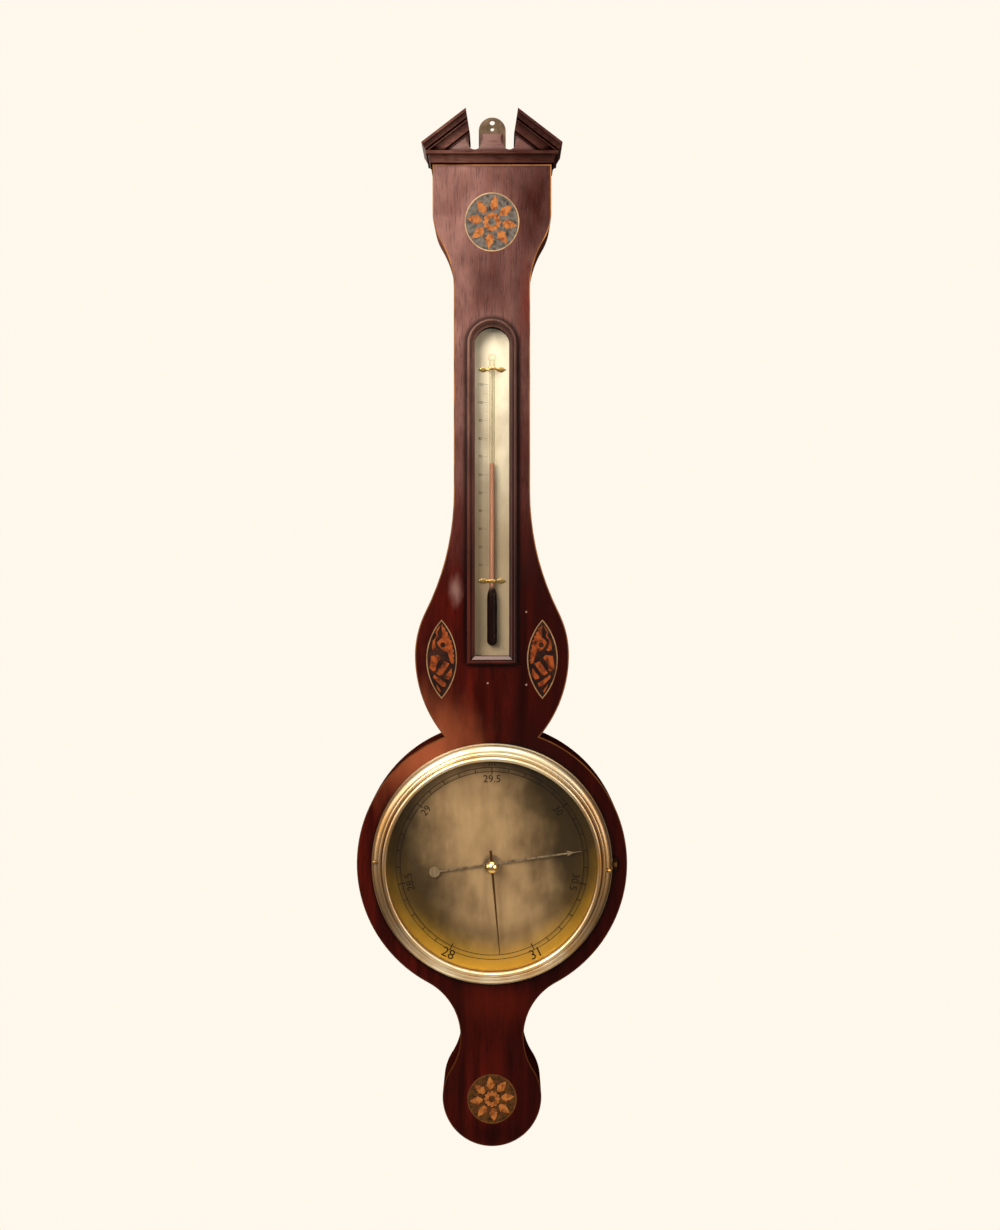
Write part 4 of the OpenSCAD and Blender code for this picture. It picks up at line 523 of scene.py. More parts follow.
def clear_glass(name, tint, edge_tint, wave_mm, shine):
    """Thin clear glass with slow waves in its face, and darker where it is seen edge on."""
    finish, tree, shader, place = new_finish(name, Metallic=1.0, Roughness=0.03)
    waves = blotches(tree, place, [wave_mm] * 3, detail=1)
    mirror = put(tree, "ShaderNodeMix", {0: waves, 6: "#ffffff", 7: "#e9efe9"}, **COLOUR)
    bump = put(tree, "ShaderNodeBump", {"Height": waves, "Distance": WAVE_DEEP})
    wear(shader, Base_Color=mirror, Normal=bump)
    edge_on = put(tree, "ShaderNodeLayerWeight", {"Blend": 0.35}, out="Facing")
    seen = put(tree, "ShaderNodeMix", {0: edge_on, 6: tint, 7: edge_tint}, **COLOUR)
    through = put(tree, "ShaderNodeBsdfTransparent", {0: seen})
    slant = put(tree, "ShaderNodeFresnel", {"IOR": 1.5})
    inside = put(tree, "ShaderNodeNewGeometry", out="Backfacing")
    outside = put(tree, "ShaderNodeMath", {0: 1.0, 1: inside}, operation="SUBTRACT")
    outside = put(tree, "ShaderNodeMath", {0: outside, 1: shine}, operation="MULTIPLY")
    shine_share = put(tree, "ShaderNodeMath", {0: slant, 1: outside}, operation="MULTIPLY")
    mixed = put(tree, "ShaderNodeMixShader", {0: shine_share, 1: through, 2: shader.outputs[0]})
    tree.links.new(mixed, tree.nodes["Material Output"].inputs["Surface"])
    return finish


pane_glass = clear_glass("crown_glass_pane", "#fdfcf8", "#fbfaf4", 45, 0.5)
tube_glass = clear_glass("drawn_glass_tube", "#fcfbf6", "#b9b3a6", 12, 0.1)


def liquid(name, light, dark, metal, rough):
    """A smooth liquid whose tone drifts a little along its length."""
    finish, tree, shader, place = new_finish(name, Metallic=metal)
    drift = blotches(tree, place, DRIFT_MM, detail=2)
    body = put(tree, "ShaderNodeMix", {0: drift, 6: light, 7: dark}, **COLOUR)
    gloss = put(tree, "ShaderNodeMapRange", {0: drift, 3: rough, 4: rough + 0.08})
    wear(shader, Base_Color=body, Roughness=gloss)
    return finish


mercury = liquid("liquid_mercury", "#d4d5d4", "#a9aaab", 1.0, 0.06)
float_glass = liquid("blown_glass_float_filled", "#9aa6a4", "#6f7c7b", 0.1, 0.1)
print("clear and liquid:", [finish.name for finish in (pane_glass, tube_glass, mercury, float_glass)])

# %% [markdown]
# ## Tinted spirit
# The bulb holds so much tinted spirit that no light comes through, and it looks black. The thread in the
# stem is thin, so light passes it and it looks a dull red. The height tells which of the two it is.

# %% Spirit
BULB_TOP = DIAL.z + 258 * MM
STEM_FROM, STEM_TO = BULB_TOP - 3 * MM, BULB_TOP + 2 * MM
spirit, tree, shader, place = new_finish("spirit_tinted_red", IOR=1.36, Specular_IOR_Level=0.05)
height = put(tree, "ShaderNodeSeparateXYZ", {0: place}, out="Z")
in_stem = put(tree, "ShaderNodeMapRange", {0: height, 1: STEM_FROM, 2: STEM_TO})
drift = blotches(tree, place, DRIFT_MM, detail=2)
thin = put(tree, "ShaderNodeMix", {0: drift, 6: "#a87c70", 7: "#8a5e52"}, **COLOUR)
body = put(tree, "ShaderNodeMix", {0: in_stem, 6: "#120202", 7: thin}, **COLOUR)
gloss = put(tree, "ShaderNodeMapRange", {0: drift, 3: 0.25, 4: 0.4})
wear(shader, Base_Color=body, Roughness=gloss)
print("spirit:", spirit.name)

# %% [markdown]
# ## Cork, engraving wax and silk
# The tube is bedded in cork pads. Engraved lines are filled with black wax, which is matt and a little
# brown. The float hangs on silk. All three are made of small grains or fibres.

# %% Cork, wax and silk
def grainy(name, light, dark, grain_mm, rough, depth_mm, shine=0.5):
    """A matt stuff made of grains."""
    finish, tree, shader, place = new_finish(name, Specular_IOR_Level=shine)
    grains = blotches(tree, place, [grain_mm] * 3, detail=3, twist=0.4)
    grain = put(tree, "ShaderNodeMapRange", {0: grains, 1: 0.4, 2: 0.65})
    body = put(tree, "ShaderNodeMix", {0: grain, 6: light, 7: dark}, **COLOUR)
    gloss = put(tree, "ShaderNodeMapRange", {0: grains, 3: rough, 4: rough + 0.1})
    bump = put(tree, "ShaderNodeBump", {"Height": grains, "Distance": depth_mm * MM})
    wear(shader, Base_Color=body, Roughness=gloss, Normal=bump)
    return finish


cork = grainy("cork_pad_cut", "#9a6b40", "#5f3c20", 2.2, 0.8, 0.3)
wax = grainy("engraving_wax_black", "#150e08", "#080503", 0.8, 0.6, 0.01, shine=0.1)
silk = grainy("silk_thread_twisted", "#b39d6c", "#7d6a42", 0.7, 0.55, 0.1)
print("matt:", cork.name, wax.name, silk.name)

# %% [markdown]
# ## A finish for every solid
# The table reads like a parts list. A solid keeps its own shape, and only its material slots change.

# %% Finishes
FINISHES = {
    sides: ["case_carcass"],
    veneer: ["front_veneer"],
    moulding: ["cornice_moulding", "raking_cornice_left", "raking_cornice_right"],
    frame_wood: ["thermometer_frame"],
    tympanum_wood: ["tympanum"],
    covers: ["trunk_cover", "foot_cover", "back_door"],
    box_in_shade: ["thermometer_box"],
    stringing: ["edge_stringing"],
    rims: ["patera_rims", "shell_rims"],
    petals: ["patera_flowers"],
    shells: ["shell_figures"],
    patera_ground: ["patera_grounds"],
    shell_ground: ["shell_grounds"],
    bezel_brass: ["bezel"],
    knob_brass: ["set_knob", "thermometer_clips", "set_collar"],
    sheet_brass: ["arbor_plate", "arbor_cock", "glass_retainer", "door_frame_leaves", "door_leaves",
                  "door_hinge_pins", "turn_button", "index_pulley", "bezel_catch", "counterweight",
                  "cover_screws", "button_screw", "cock_screws", "scale_screws", "dial_screws"],
    hanger_brass: ["hanging_plate", "hanging_plate_screws"],
    needle_brass: ["set_hand", "bezel_hinge_leaf", "bezel_hinge_pin"],
    steel: ["index_arbor"],
    dial_silver: ["dial_plate"],
    scale_silver: ["thermometer_scale"],
    hand_silver: ["index_hand"],
    pane_glass: ["dial_glass", "thermometer_glass"],
    tube_glass: ["thermometer_tube", "siphon_tube"],
    mercury: ["mercury_bend", "mercury_long", "mercury_short"],
    spirit: ["thermometer_spirit"],
    float_glass: ["float"],
    cork: ["tube_pads"],
    silk: ["thread_wrap", "float_thread", "weight_thread"],
}
for finish, names in FINISHES.items():
    for name in names:
        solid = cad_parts[name]
        solid.data.materials.clear()
        solid.data.materials.append(finish)
bare = set(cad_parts) - {name for names in FINISHES.values() for name in names}
print("solids without a finish:", sorted(bare))

# %% [markdown]
# ## Smooth faces
# The solids arrive as loose triangles. A small node tree on each welds its corners and smooths the shading
# wherever two faces meet at less than an angle, so turned brass looks round and edges stay crisp.

# %% Smoothing
WELD = 0.002 * MM
SMOOTH_UNDER = math.radians(32)
smoother = bpy.data.node_groups.new("weld_and_smooth", "GeometryNodeTree")
smoother.interface.new_socket("Geometry", in_out="INPUT", socket_type="NodeSocketGeometry")
smoother.interface.new_socket("Geometry", in_out="OUTPUT", socket_type="NodeSocketGeometry")
loose = put(smoother, "NodeGroupInput")
welded = put(smoother, "GeometryNodeMergeByDistance", {"Geometry": loose, "Distance": WELD})
bend = put(smoother, "GeometryNodeInputMeshEdgeAngle", out="Unsigned Angle")
sharp = put(smoother, "FunctionNodeCompare", {0: bend, 1: SMOOTH_UNDER}, operation="GREATER_THAN")
soft = put(smoother, "FunctionNodeBooleanMath", {0: sharp}, operation="NOT")
shaded = welded
for domain, share in (("FACE", True), ("EDGE", soft)):
    shaded = put(smoother, "GeometryNodeSetShadeSmooth", {"Geometry": shaded, "Shade Smooth": share},
                 domain=domain)
put(smoother, "NodeGroupOutput", {0: shaded})
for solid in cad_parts.values():
    solid.modifiers.new("weld_and_smooth", "NODES").node_group = smoother
print("smoothed solids:", len(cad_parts))

# %% [markdown]
# ## Pieces from node trees
# Ticks, screws and threads repeat one shape, so Geometry Nodes make them. One helper builds a tree with
# named inputs, and a second one sets them on a modifier by the socket's identifier. The result becomes a
# plain mesh. Shapes that don't repeat are built corner by corner, and become objects in the same way.

# %% Node tree helpers
def new_tree(name, **sizes):
    """A geometry tree with named inputs: numbers and vectors by their defaults' types, and a finish."""
    tree = bpy.data.node_groups.new(name, "GeometryNodeTree")
    tree.interface.new_socket("Geometry", in_out="INPUT", socket_type="NodeSocketGeometry")
    tree.interface.new_socket("Geometry", in_out="OUTPUT", socket_type="NodeSocketGeometry")
    kinds = {float: "NodeSocketFloat", int: "NodeSocketInt", tuple: "NodeSocketVector"}
    for key, value in sizes.items():
        socket = tree.interface.new_socket(key, in_out="INPUT", socket_type=kinds[type(value)])
        socket.default_value = value
    tree.interface.new_socket("Finish", in_out="INPUT", socket_type="NodeSocketMaterial")
    return tree, tree.nodes.new("NodeGroupInput").outputs


def set_inputs(modifier, **values):
    """Set a tree's inputs by their names, through the sockets' identifiers."""
    sockets = {item.name: item.identifier for item in modifier.node_group.interface.items_tree
               if item.in_out == "INPUT"}
    for key, value in values.items():
        modifier[sockets[key]] = value


def end_tree(tree, entry, pieces):
    """Join what a tree has made, make its copies real, give it the finish and send it out."""
    joined = tree.nodes.new("GeometryNodeJoinGeometry")
    for piece in pieces:
        tree.links.new(piece, joined.inputs[0])
    real = put(tree, "GeometryNodeRealizeInstances", {0: joined.outputs[0]})
    finished = put(tree, "GeometryNodeSetMaterial", {"Geometry": real, "Material": entry["Finish"]})
    put(tree, "NodeGroupOutput", {0: finished})


def placed(name, data):
    """A new object in the scene, at the origin."""
    thing = bpy.data.objects.new(name, data)
    bpy.context.collection.objects.link(thing)
    return thing


def plain_mesh(thing):
    """An object's mesh as its modifiers or its text make it; the object itself is removed."""
    mesh = bpy.data.meshes.new_from_object(thing.evaluated_get(bpy.context.evaluated_depsgraph_get()))
    bpy.data.objects.remove(thing)
    return mesh


def grown(name, mesh, steps):
    """An object from a start mesh and a list of (tree, inputs), made a plain mesh at the origin."""
    draft = placed(name + "_draft", mesh)
    for tree, values in steps:
        modifier = draft.modifiers.new(tree.name, "NODES")
        modifier.node_group = tree
        set_inputs(modifier, **values)
    return placed(name, plain_mesh(draft))


def built(name, build, finish):
    """An object from a bmesh, with its finish; the bmesh is freed."""
    data = bpy.data.meshes.new(name)
    build.to_mesh(data)
    build.free()
    data.materials.append(finish)
    return placed(name, data)


print("tree helpers ready")

# %% [markdown]
# ## Engraved scale of the dial
# A dividing engine cuts each line on the plate, and wax fills it. A groove a tenth of a millimetre deep
# can't show, so each line is a very thin bar of wax on the plate, drawn twice as wide as it was cut. One
# tree sets bars in a row or turns them into a fan about one point, and another one makes a ring.

# %% Bars and rings
LINE_LIFT = 0.03 * MM
RING_CORNERS = 180
NOWHERE = (0.0, 0.0, 0.0)

bars, entry = new_tree("row_of_bars", Count=1, Start=NOWHERE, Offset=NOWHERE, Size=NOWHERE, Shift=NOWHERE,
                       First=0.0, Turn=0.0)
spots = put(bars, "GeometryNodeMeshLine", {"Count": entry["Count"], "Start Location": entry["Start"],
                                           "Offset": entry["Offset"]})
bar = put(bars, "GeometryNodeMeshCube", {"Size": entry["Size"]})
bar = put(bars, "GeometryNodeTransform", {"Geometry": bar, "Translation": entry["Shift"]})
number = put(bars, "GeometryNodeInputIndex")
swing = put(bars, "ShaderNodeMath", {0: number, 1: entry["Turn"], 2: entry["First"]},
            operation="MULTIPLY_ADD")
euler = put(bars, "ShaderNodeCombineXYZ", {"Y": swing})
turned = put(bars, "FunctionNodeEulerToRotation", {0: euler})
row = put(bars, "GeometryNodeInstanceOnPoints", {"Points": spots, "Instance": bar, "Rotation": turned})
end_tree(bars, entry, [row, entry["Geometry"]])

ring, entry = new_tree("engraved_ring", Centre=NOWHERE, Radius=0.0, Width=0.0)
path = put(ring, "GeometryNodeCurvePrimitiveCircle", {"Resolution": RING_CORNERS,
                                                      "Radius": entry["Radius"]})
path = put(ring, "GeometryNodeTransform", {"Geometry": path, "Translation": entry["Centre"],
                                           "Rotation": (math.radians(90), 0, 0)})
section = put(ring, "GeometryNodeCurvePrimitiveQuadrilateral", {"Width": entry["Width"],
                                                                "Height": 2 * LINE_LIFT})
line = put(ring, "GeometryNodeCurveToMesh", {"Curve": path, "Profile Curve": section})
end_tree(ring, entry, [line, entry["Geometry"]])

print("trees:", bars.name, ring.name)

# %% [markdown]
# ## Lines of the dial
# The scale runs from 28 to 31 inches over 308 degrees, between two rings. Each kind of line is one fan of
# bars: the table gives their count, inner radius and the angle that they fill, and their length and width
# in millimetres. A little tuft of three lines marks the middle of the scale.

# %% Dial scale
INCHES = (28, 31)
INCH_SPAN = INCHES[1] - INCHES[0]
SCALE_TURN = math.radians(308)
TUFT_TURN = math.radians(3.2)
RING_IN, RING_OUT = 85.5 * MM, 89.5 * MM
RING_LINE = 0.55 * MM
LINES = {
    "hundredths": (100 * INCH_SPAN + 1, RING_IN, SCALE_TURN, 2.0, 0.3),
    "tenths": (10 * INCH_SPAN + 1, RING_IN, SCALE_TURN, 4.0, 0.8),
    "halves": (2 * INCH_SPAN + 1, RING_IN - 2.5 * MM, SCALE_TURN, 6.5, 0.9),
    "tuft": (3, RING_OUT + 0.8 * MM, TUFT_TURN, 4.5, 0.6),
}
steps = []
for count, radius, turn, length, width in LINES.values():
    steps.append((bars, {"Count": count, "Start": tuple(DIAL), "Shift": (0, 0, radius + length * MM / 2),
                         "Size": (width * MM, 2 * LINE_LIFT, length * MM), "First": -turn / 2,
                         "Turn": turn / (count - 1), "Finish": wax}))
for radius in (RING_IN, RING_OUT):
    steps.append((ring, {"Centre": tuple(DIAL), "Radius": radius, "Width": RING_LINE, "Finish": wax}))
dial_lines = grown("dial_lines", bpy.data.meshes.new("dial_lines_start"), steps)
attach(dial_lines, "case")
print("dial lines, faces:", len(dial_lines.data.polygons))

# %% [markdown]
# ## Numbers on the dial
# The inches and half inches are engraved round the scale, upright to a reader at the centre, except the two
# at the bottom, which stand the other way up. Text is made a mesh before it is turned into place.

# %% Numbers
NUMBER_H, NUMBER_R = 6.8 * MM, 78.5 * MM
LOW_NUMBER_H, LOW_NUMBER_R = 9 * MM, 93.5 * MM
FIGURE_SHARE = 0.7
CURVE_STEPS = 3


def number_mesh(words, height, matrix):
    """A thin solid of a number, centred, placed by a matrix."""
    curve = bpy.data.curves.new("number", "FONT")
    curve.body = words
    curve.size = height / FIGURE_SHARE
    curve.align_x = "CENTER"
    curve.align_y = "CENTER"
    curve.extrude = LINE_LIFT
    curve.resolution_u = CURVE_STEPS
    holder = placed("number", curve)
    bpy.context.view_layer.update()
    mesh = plain_mesh(holder)
    mesh.transform(matrix)
    return mesh


def joined_piece(name, meshes, finish):
    """One object from several meshes."""
    build = bmesh.new()
    for mesh in meshes:
        build.from_mesh(mesh)
        bpy.data.meshes.remove(mesh)
    return built(name, build, finish)


numbers = []
halves = 2 * INCH_SPAN
for step in range(halves + 1):
    angle = SCALE_TURN * (step / halves - 0.5)
    low = step in (0, halves)
    up = -1 if low else 1
    height, radius = (LOW_NUMBER_H, LOW_NUMBER_R) if low else (NUMBER_H, NUMBER_R)
    outward = Vector((math.sin(angle), 0, math.cos(angle)))
    along = Vector((math.cos(angle), 0, -math.sin(angle)))
    turned = Matrix((up * along, up * outward, (0, -1, 0))).transposed().to_4x4()
    spot = Matrix.Translation(DIAL + outward * radius)
    numbers.append(number_mesh(f"{INCHES[0] + step / 2:g}", height, spot @ turned))
dial_numbers = joined_piece("dial_numbers", numbers, wax)
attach(dial_numbers, "case")
print("dial numbers, faces:", len(dial_numbers.data.polygons))

# %% [markdown]
# ## Thermometer scale
# The thermometer has a ladder of degree lines to the left of the tube, longer every five and ten degrees,
# and numbers beside the tens. The same tree sets its bars in a row. The table gives the degrees from line
# to line, and a line's length and width in millimetres.

# %% Thermometer scale
DEGREES = (10, 110)
DEGREE_SPAN = DEGREES[1] - DEGREES[0]
DEGREE_LOW, DEGREE_HIGH = DIAL.z + 278 * MM, DIAL.z + 448 * MM
LADDER_H = DEGREE_HIGH - DEGREE_LOW
LADDER = {"degrees": (1, 2.2, 0.16), "fives": (5, 3.2, 0.18), "tens": (10, 4.4, 0.24)}
STEM_SIDE = -3.4 * MM
TENS_H, TENS_LEFT = 2.6 * MM, 7.6 * MM
SCALE_FACE_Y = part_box("thermometer_scale")[0][1]

ladder_foot = Vector((DIAL.x + STEM_SIDE, SCALE_FACE_Y, DEGREE_LOW))
steps = []
for every, length, width in LADDER.values():
    gaps = DEGREE_SPAN // every
    steps.append((bars, {"Count": gaps + 1, "Start": tuple(ladder_foot), "Offset": (0, 0, LADDER_H / gaps),
                         "Shift": (-length * MM / 2, 0, 0),
                         "Size": (length * MM, 2 * LINE_LIFT, width * MM), "Finish": wax}))
degree_lines = grown("degree_lines", bpy.data.meshes.new("degree_lines_start"), steps)
tens = []
upright = Matrix(((1, 0, 0), (0, 0, 1), (0, -1, 0))).transposed().to_4x4()
for degree in range(DEGREES[0], DEGREES[1] + 1, LADDER["tens"][0]):
    rise = (degree - DEGREES[0]) / DEGREE_SPAN * LADDER_H
    spot = Matrix.Translation(ladder_foot + Vector((-TENS_LEFT, 0, rise)))
    tens.append(number_mesh(str(degree), TENS_H, spot @ upright))
degree_numbers = joined_piece("degree_numbers", tens, wax)
for piece in (degree_lines, degree_numbers):
    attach(piece, "case")
    print(piece.name + ", faces:", len(piece.data.polygons))

# %% [markdown]
# ## Slotted screws
# Every plate, cover and scale is held by countersunk screws with one slot, and no two slots end up at the
# same angle. A tree makes one screw, stands it on each hole and turns it by a seeded random angle.

# %% Screw tree
SLOT_LONG, SLOT_WIDE, SLOT_DEEP = 3.0, 0.26, 0.5
HEAD_SIDES, SHANK_SIDES = 28, 16

slotted, entry = new_tree("slotted_screws", Head=0.0, Shank=0.0, Sink=0.0, Length=0.0, Tilt=0.0, Seed=0)
head = put(slotted, "GeometryNodeMeshCone", {"Vertices": HEAD_SIDES, "Radius Top": entry["Head"],
                                             "Radius Bottom": entry["Shank"], "Depth": entry["Sink"]})
down = put(slotted, "ShaderNodeMath", {0: entry["Sink"], 1: -1.0}, operation="MULTIPLY")
below = put(slotted, "ShaderNodeCombineXYZ", {"Z": down})
head = put(slotted, "GeometryNodeTransform", {"Geometry": head, "Translation": below})
slot_long = put(slotted, "ShaderNodeMath", {0: entry["Head"], 1: SLOT_LONG}, operation="MULTIPLY")
slot_wide = put(slotted, "ShaderNodeMath", {0: entry["Head"], 1: SLOT_WIDE}, operation="MULTIPLY")
slot_high = put(slotted, "ShaderNodeMath", {0: entry["Sink"], 1: 2 * SLOT_DEEP}, operation="MULTIPLY")
blade = put(slotted, "ShaderNodeCombineXYZ", {"X": slot_long, "Y": slot_wide, "Z": slot_high})
cutter = put(slotted, "GeometryNodeMeshCube", {"Size": blade})
head = put(slotted, "GeometryNodeMeshBoolean", {"Mesh 1": head, "Mesh 2": cutter}, operation="DIFFERENCE",
           solver="EXACT")
rest = put(slotted, "ShaderNodeMath", {0: entry["Length"], 1: entry["Sink"]}, operation="SUBTRACT")
shank = put(slotted, "GeometryNodeMeshCylinder", {"Vertices": SHANK_SIDES, "Radius": entry["Shank"],
                                                 "Depth": rest})
depth = put(slotted, "ShaderNodeMath", {0: entry["Length"], 1: entry["Sink"]}, operation="ADD")
depth = put(slotted, "ShaderNodeMath", {0: depth, 1: -0.5}, operation="MULTIPLY")
deeper = put(slotted, "ShaderNodeCombineXYZ", {"Z": depth})
shank = put(slotted, "GeometryNodeTransform", {"Geometry": shank, "Translation": deeper})
screw = slotted.nodes.new("GeometryNodeJoinGeometry")
slotted.links.new(head, screw.inputs[0])
slotted.links.new(shank, screw.inputs[0])
facing = put(slotted, "ShaderNodeCombineXYZ", {"X": entry["Tilt"]})
facing = put(slotted, "FunctionNodeEulerToRotation", {0: facing})
set_screws = put(slotted, "GeometryNodeInstanceOnPoints", {"Points": entry["Geometry"],
                                                          "Instance": screw.outputs[0], "Rotation": facing})
angle = put(slotted, "FunctionNodeRandomValue", {2: 0.0, 3: math.pi, "Seed": entry["Seed"]}, out=1,
            data_type="FLOAT")
spin = put(slotted, "ShaderNodeCombineXYZ", {"Z": angle})
spin = put(slotted, "FunctionNodeEulerToRotation", {0: spin})
set_screws = put(slotted, "GeometryNodeRotateInstances", {"Instances": set_screws, "Rotation": spin,
                                                         "Local Space": True})
end_tree(slotted, entry, [set_screws])
print("tree:", slotted.name)

# %% [markdown]
# ## Screws in their holes
# The solids say where the holes are, how large the screws are and which way their heads face. A set of
# corners has no order of its own, so the screws are sorted by where they are: then each one gets the same
# angle on every run. The table gives each group's finish, how deep its heads are sunk in millimetres, and
# its seed.

# %% Screws
def screw_islands(name):
    """The corners of each screw in a node, as one list for each screw."""
    build = bmesh.new()
    build.from_mesh(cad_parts[name].data)
    bmesh.ops.remove_doubles(build, verts=build.verts, dist=WELD)
    left = set(build.verts)
    islands = []
    while left:
        found = [left.pop()]
        for corner in found:
            for edge in corner.link_edges:
                neighbour = edge.other_vert(corner)
                if neighbour in left:
                    left.discard(neighbour)
                    found.append(neighbour)
        islands.append([corner.co.copy() for corner in found])
    build.free()
    return islands


def screw_sizes(island):
    """Head's centre, head and shank radius, length and facing of one screw; it stands along Y."""
    low = [min(corner[axis] for corner in island) for axis in range(3)]
    high = [max(corner[axis] for corner in island) for axis in range(3)]
    middle = [(low[axis] + high[axis]) / 2 for axis in range(3)]
    ends = {}
    for end in (low[1], high[1]):
        rim = [corner for corner in island if abs(corner.y - end) < WELD]
        ends[end] = max(math.hypot(corner.x - middle[0], corner.z - middle[2]) for corner in rim)
    face, tip = sorted(ends, key=ends.get, reverse=True)
    way = math.copysign(1, face - tip)
    return (middle[0], face, middle[2]), ends[face], ends[tip], abs(face - tip), way


def by_height(place):
    """Order of a screw among its group, to the millimetre: from the lowest up, then from left to right."""
    x, _, z = place[0]
    return round(z / MM), round(x / MM)


SCREWS = {
    "hanging_plate_screws": (hanger_brass, 1.6, 3),
    "cover_screws": (sheet_brass, 0.8, 11),
    "cock_screws": (sheet_brass, 0.8, 5),
    "scale_screws": (scale_silver, 0.8, 7),
    "dial_screws": (dial_silver, 0.8, 2),
    "button_screw": (sheet_brass, 1.6, 9),
}
for name, (finish, sink, seed) in SCREWS.items():
    places = sorted((screw_sizes(island) for island in screw_islands(name)), key=by_height)
    start = bpy.data.meshes.new(name + "_start")
    start.from_pydata([place[0] for place in places], [], [])
    _, head_r, shank_r, length, way = places[0]
    screws = grown("slotted_" + name, start, [(slotted, {
        "Head": head_r, "Shank": shank_r, "Sink": sink * MM, "Length": length,
        "Tilt": -way * math.radians(90), "Seed": seed, "Finish": finish})])
    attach(screws, "case")
    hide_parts(name)
    print(name, len(places), "head and length in mm:", round(2 * head_r / MM, 2), round(length / MM, 2))

# %% [markdown]
# ## Silk threads
# A thread of two twisted strands runs from the glass float up over the pulley and down to the
# counterweight. The tree sweeps two small circles along a path and turns them as they go. The two hanging
# lengths reach from the pulley to what they carry.

# %% Threads
PLY_R = 0.125 * MM
TWIST_PITCH = 2.4 * MM
RING_GAP = 0.4 * MM
PLY_SIDES = 7
WRAP_STEPS = 24

thread, entry = new_tree("twisted_thread", Ply=0.0, Pitch=0.0, Gap=0.0)
path = put(thread, "GeometryNodeMeshToCurve", {0: entry["Geometry"]})
path = put(thread, "GeometryNodeResampleCurve", {"Curve": path, "Length": entry["Gap"]}, mode="LENGTH")
gone = put(thread, "GeometryNodeSplineParameter", out="Length")
turns = put(thread, "ShaderNodeMath", {0: gone, 1: entry["Pitch"]}, operation="DIVIDE")
turned = put(thread, "ShaderNodeMath", {0: turns, 1: math.tau}, operation="MULTIPLY")
path = put(thread, "GeometryNodeSetCurveTilt", {"Curve": path, "Tilt": turned})
ply = put(thread, "GeometryNodeCurvePrimitiveCircle", {"Resolution": PLY_SIDES, "Radius": entry["Ply"]})
aside = put(thread, "ShaderNodeCombineXYZ", {"X": entry["Ply"]})
left_ply = put(thread, "GeometryNodeTransform", {"Geometry": ply, "Translation": aside})
other = put(thread, "ShaderNodeVectorMath", {0: aside, "Scale": -1.0}, operation="SCALE")
right_ply = put(thread, "GeometryNodeTransform", {"Geometry": ply, "Translation": other})
plies = thread.nodes.new("GeometryNodeJoinGeometry")
thread.links.new(left_ply, plies.inputs[0])
thread.links.new(right_ply, plies.inputs[0])
strand = put(thread, "GeometryNodeCurveToMesh", {"Curve": path, "Profile Curve": plies.outputs[0],
                                                 "Fill Caps": True})
end_tree(thread, entry, [strand])


def silk_piece(name, points):
    """A twisted thread along a path."""
    start = bpy.data.meshes.new(name + "_start")
    start.from_pydata(points, [(k, k + 1) for k in range(len(points) - 1)], [])
    sizes = {"Ply": PLY_R, "Pitch": TWIST_PITCH, "Gap": RING_GAP, "Finish": silk}
    return grown(name, start, [(thread, sizes)])


def middle_of(name):
    """A node's middle, and its lowest and highest point on the same upright line."""
    low, high = (Vector(corner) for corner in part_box(name))
    middle = (low + high) / 2
    return middle, Vector((middle.x, middle.y, low.z)), Vector((middle.x, middle.y, high.z))


for name, carried in (("float_thread", "float"), ("weight_thread", "counterweight")):
    _, foot, top = middle_of(name)
    piece = silk_piece("silk_" + name, [top, foot])
    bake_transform(piece)
    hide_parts(name)
    print(piece.name, "length, mm:", round((top - foot).length / MM, 1))

_, wrap_foot, wrap_top = middle_of("thread_wrap")
wrap_r = wrap_top.z - wrap_foot.z - 2 * PLY_R
bends = [math.pi * k / WRAP_STEPS for k in range(WRAP_STEPS + 1)]
half_turn = [wrap_foot + wrap_r * Vector((math.cos(bend), 0, math.sin(bend))) for bend in bends]
wrap = silk_piece("silk_thread_wrap", half_turn)
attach(wrap, "case")
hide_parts("thread_wrap")
print("thread over the pulley, radius in mm:", round(wrap_r / MM, 2))

# %% [markdown]
# ## Mercury and spirit
# Mercury doesn't wet glass, so each column ends in a dome. When the air gets heavier the short column sinks
# and the long one rises by as much, so their tops follow the float and the counterweight, which moves
# against it. The columns are turned on their axis as rings.

# %% Mercury columns
TURN_SIDES = 28
DOME = 0.8 * MM
DOME_STEPS = 5
COLUMN_RINGS = 40
STRETCHED = 60 * MM


def dome(radius, foot, rise):
    """Rings of a rounded end, as radius and height; a negative rise rounds downward."""
    slopes = [math.pi / 2 * k / DOME_STEPS for k in range(DOME_STEPS)]
    return [(radius * math.cos(slope), foot + rise * math.sin(slope)) for slope in slopes]


def turned_piece(name, axis, rings, tip, finish):
    """A solid turned about an upright axis: rings of radius and height, a flat foot and a point on top."""
    build = bmesh.new()
    loops = []
    for ring_r, height in rings:
        loops.append([build.verts.new((axis.x + ring_r * math.cos(math.tau * k / TURN_SIDES),
                                       axis.y + ring_r * math.sin(math.tau * k / TURN_SIDES), height))
                      for k in range(TURN_SIDES)])
    for lower, upper in zip(loops, loops[1:]):
        for k in range(TURN_SIDES):
            following = (k + 1) % TURN_SIDES
            build.faces.new((lower[k], lower[following], upper[following], upper[k])).smooth = True
    build.faces.new(reversed(loops[0]))
    crown = build.verts.new((axis.x, axis.y, tip))
    for k in range(TURN_SIDES):
        build.faces.new((loops[-1][k], loops[-1][(k + 1) % TURN_SIDES], crown)).smooth = True
    return built(name, build, finish)


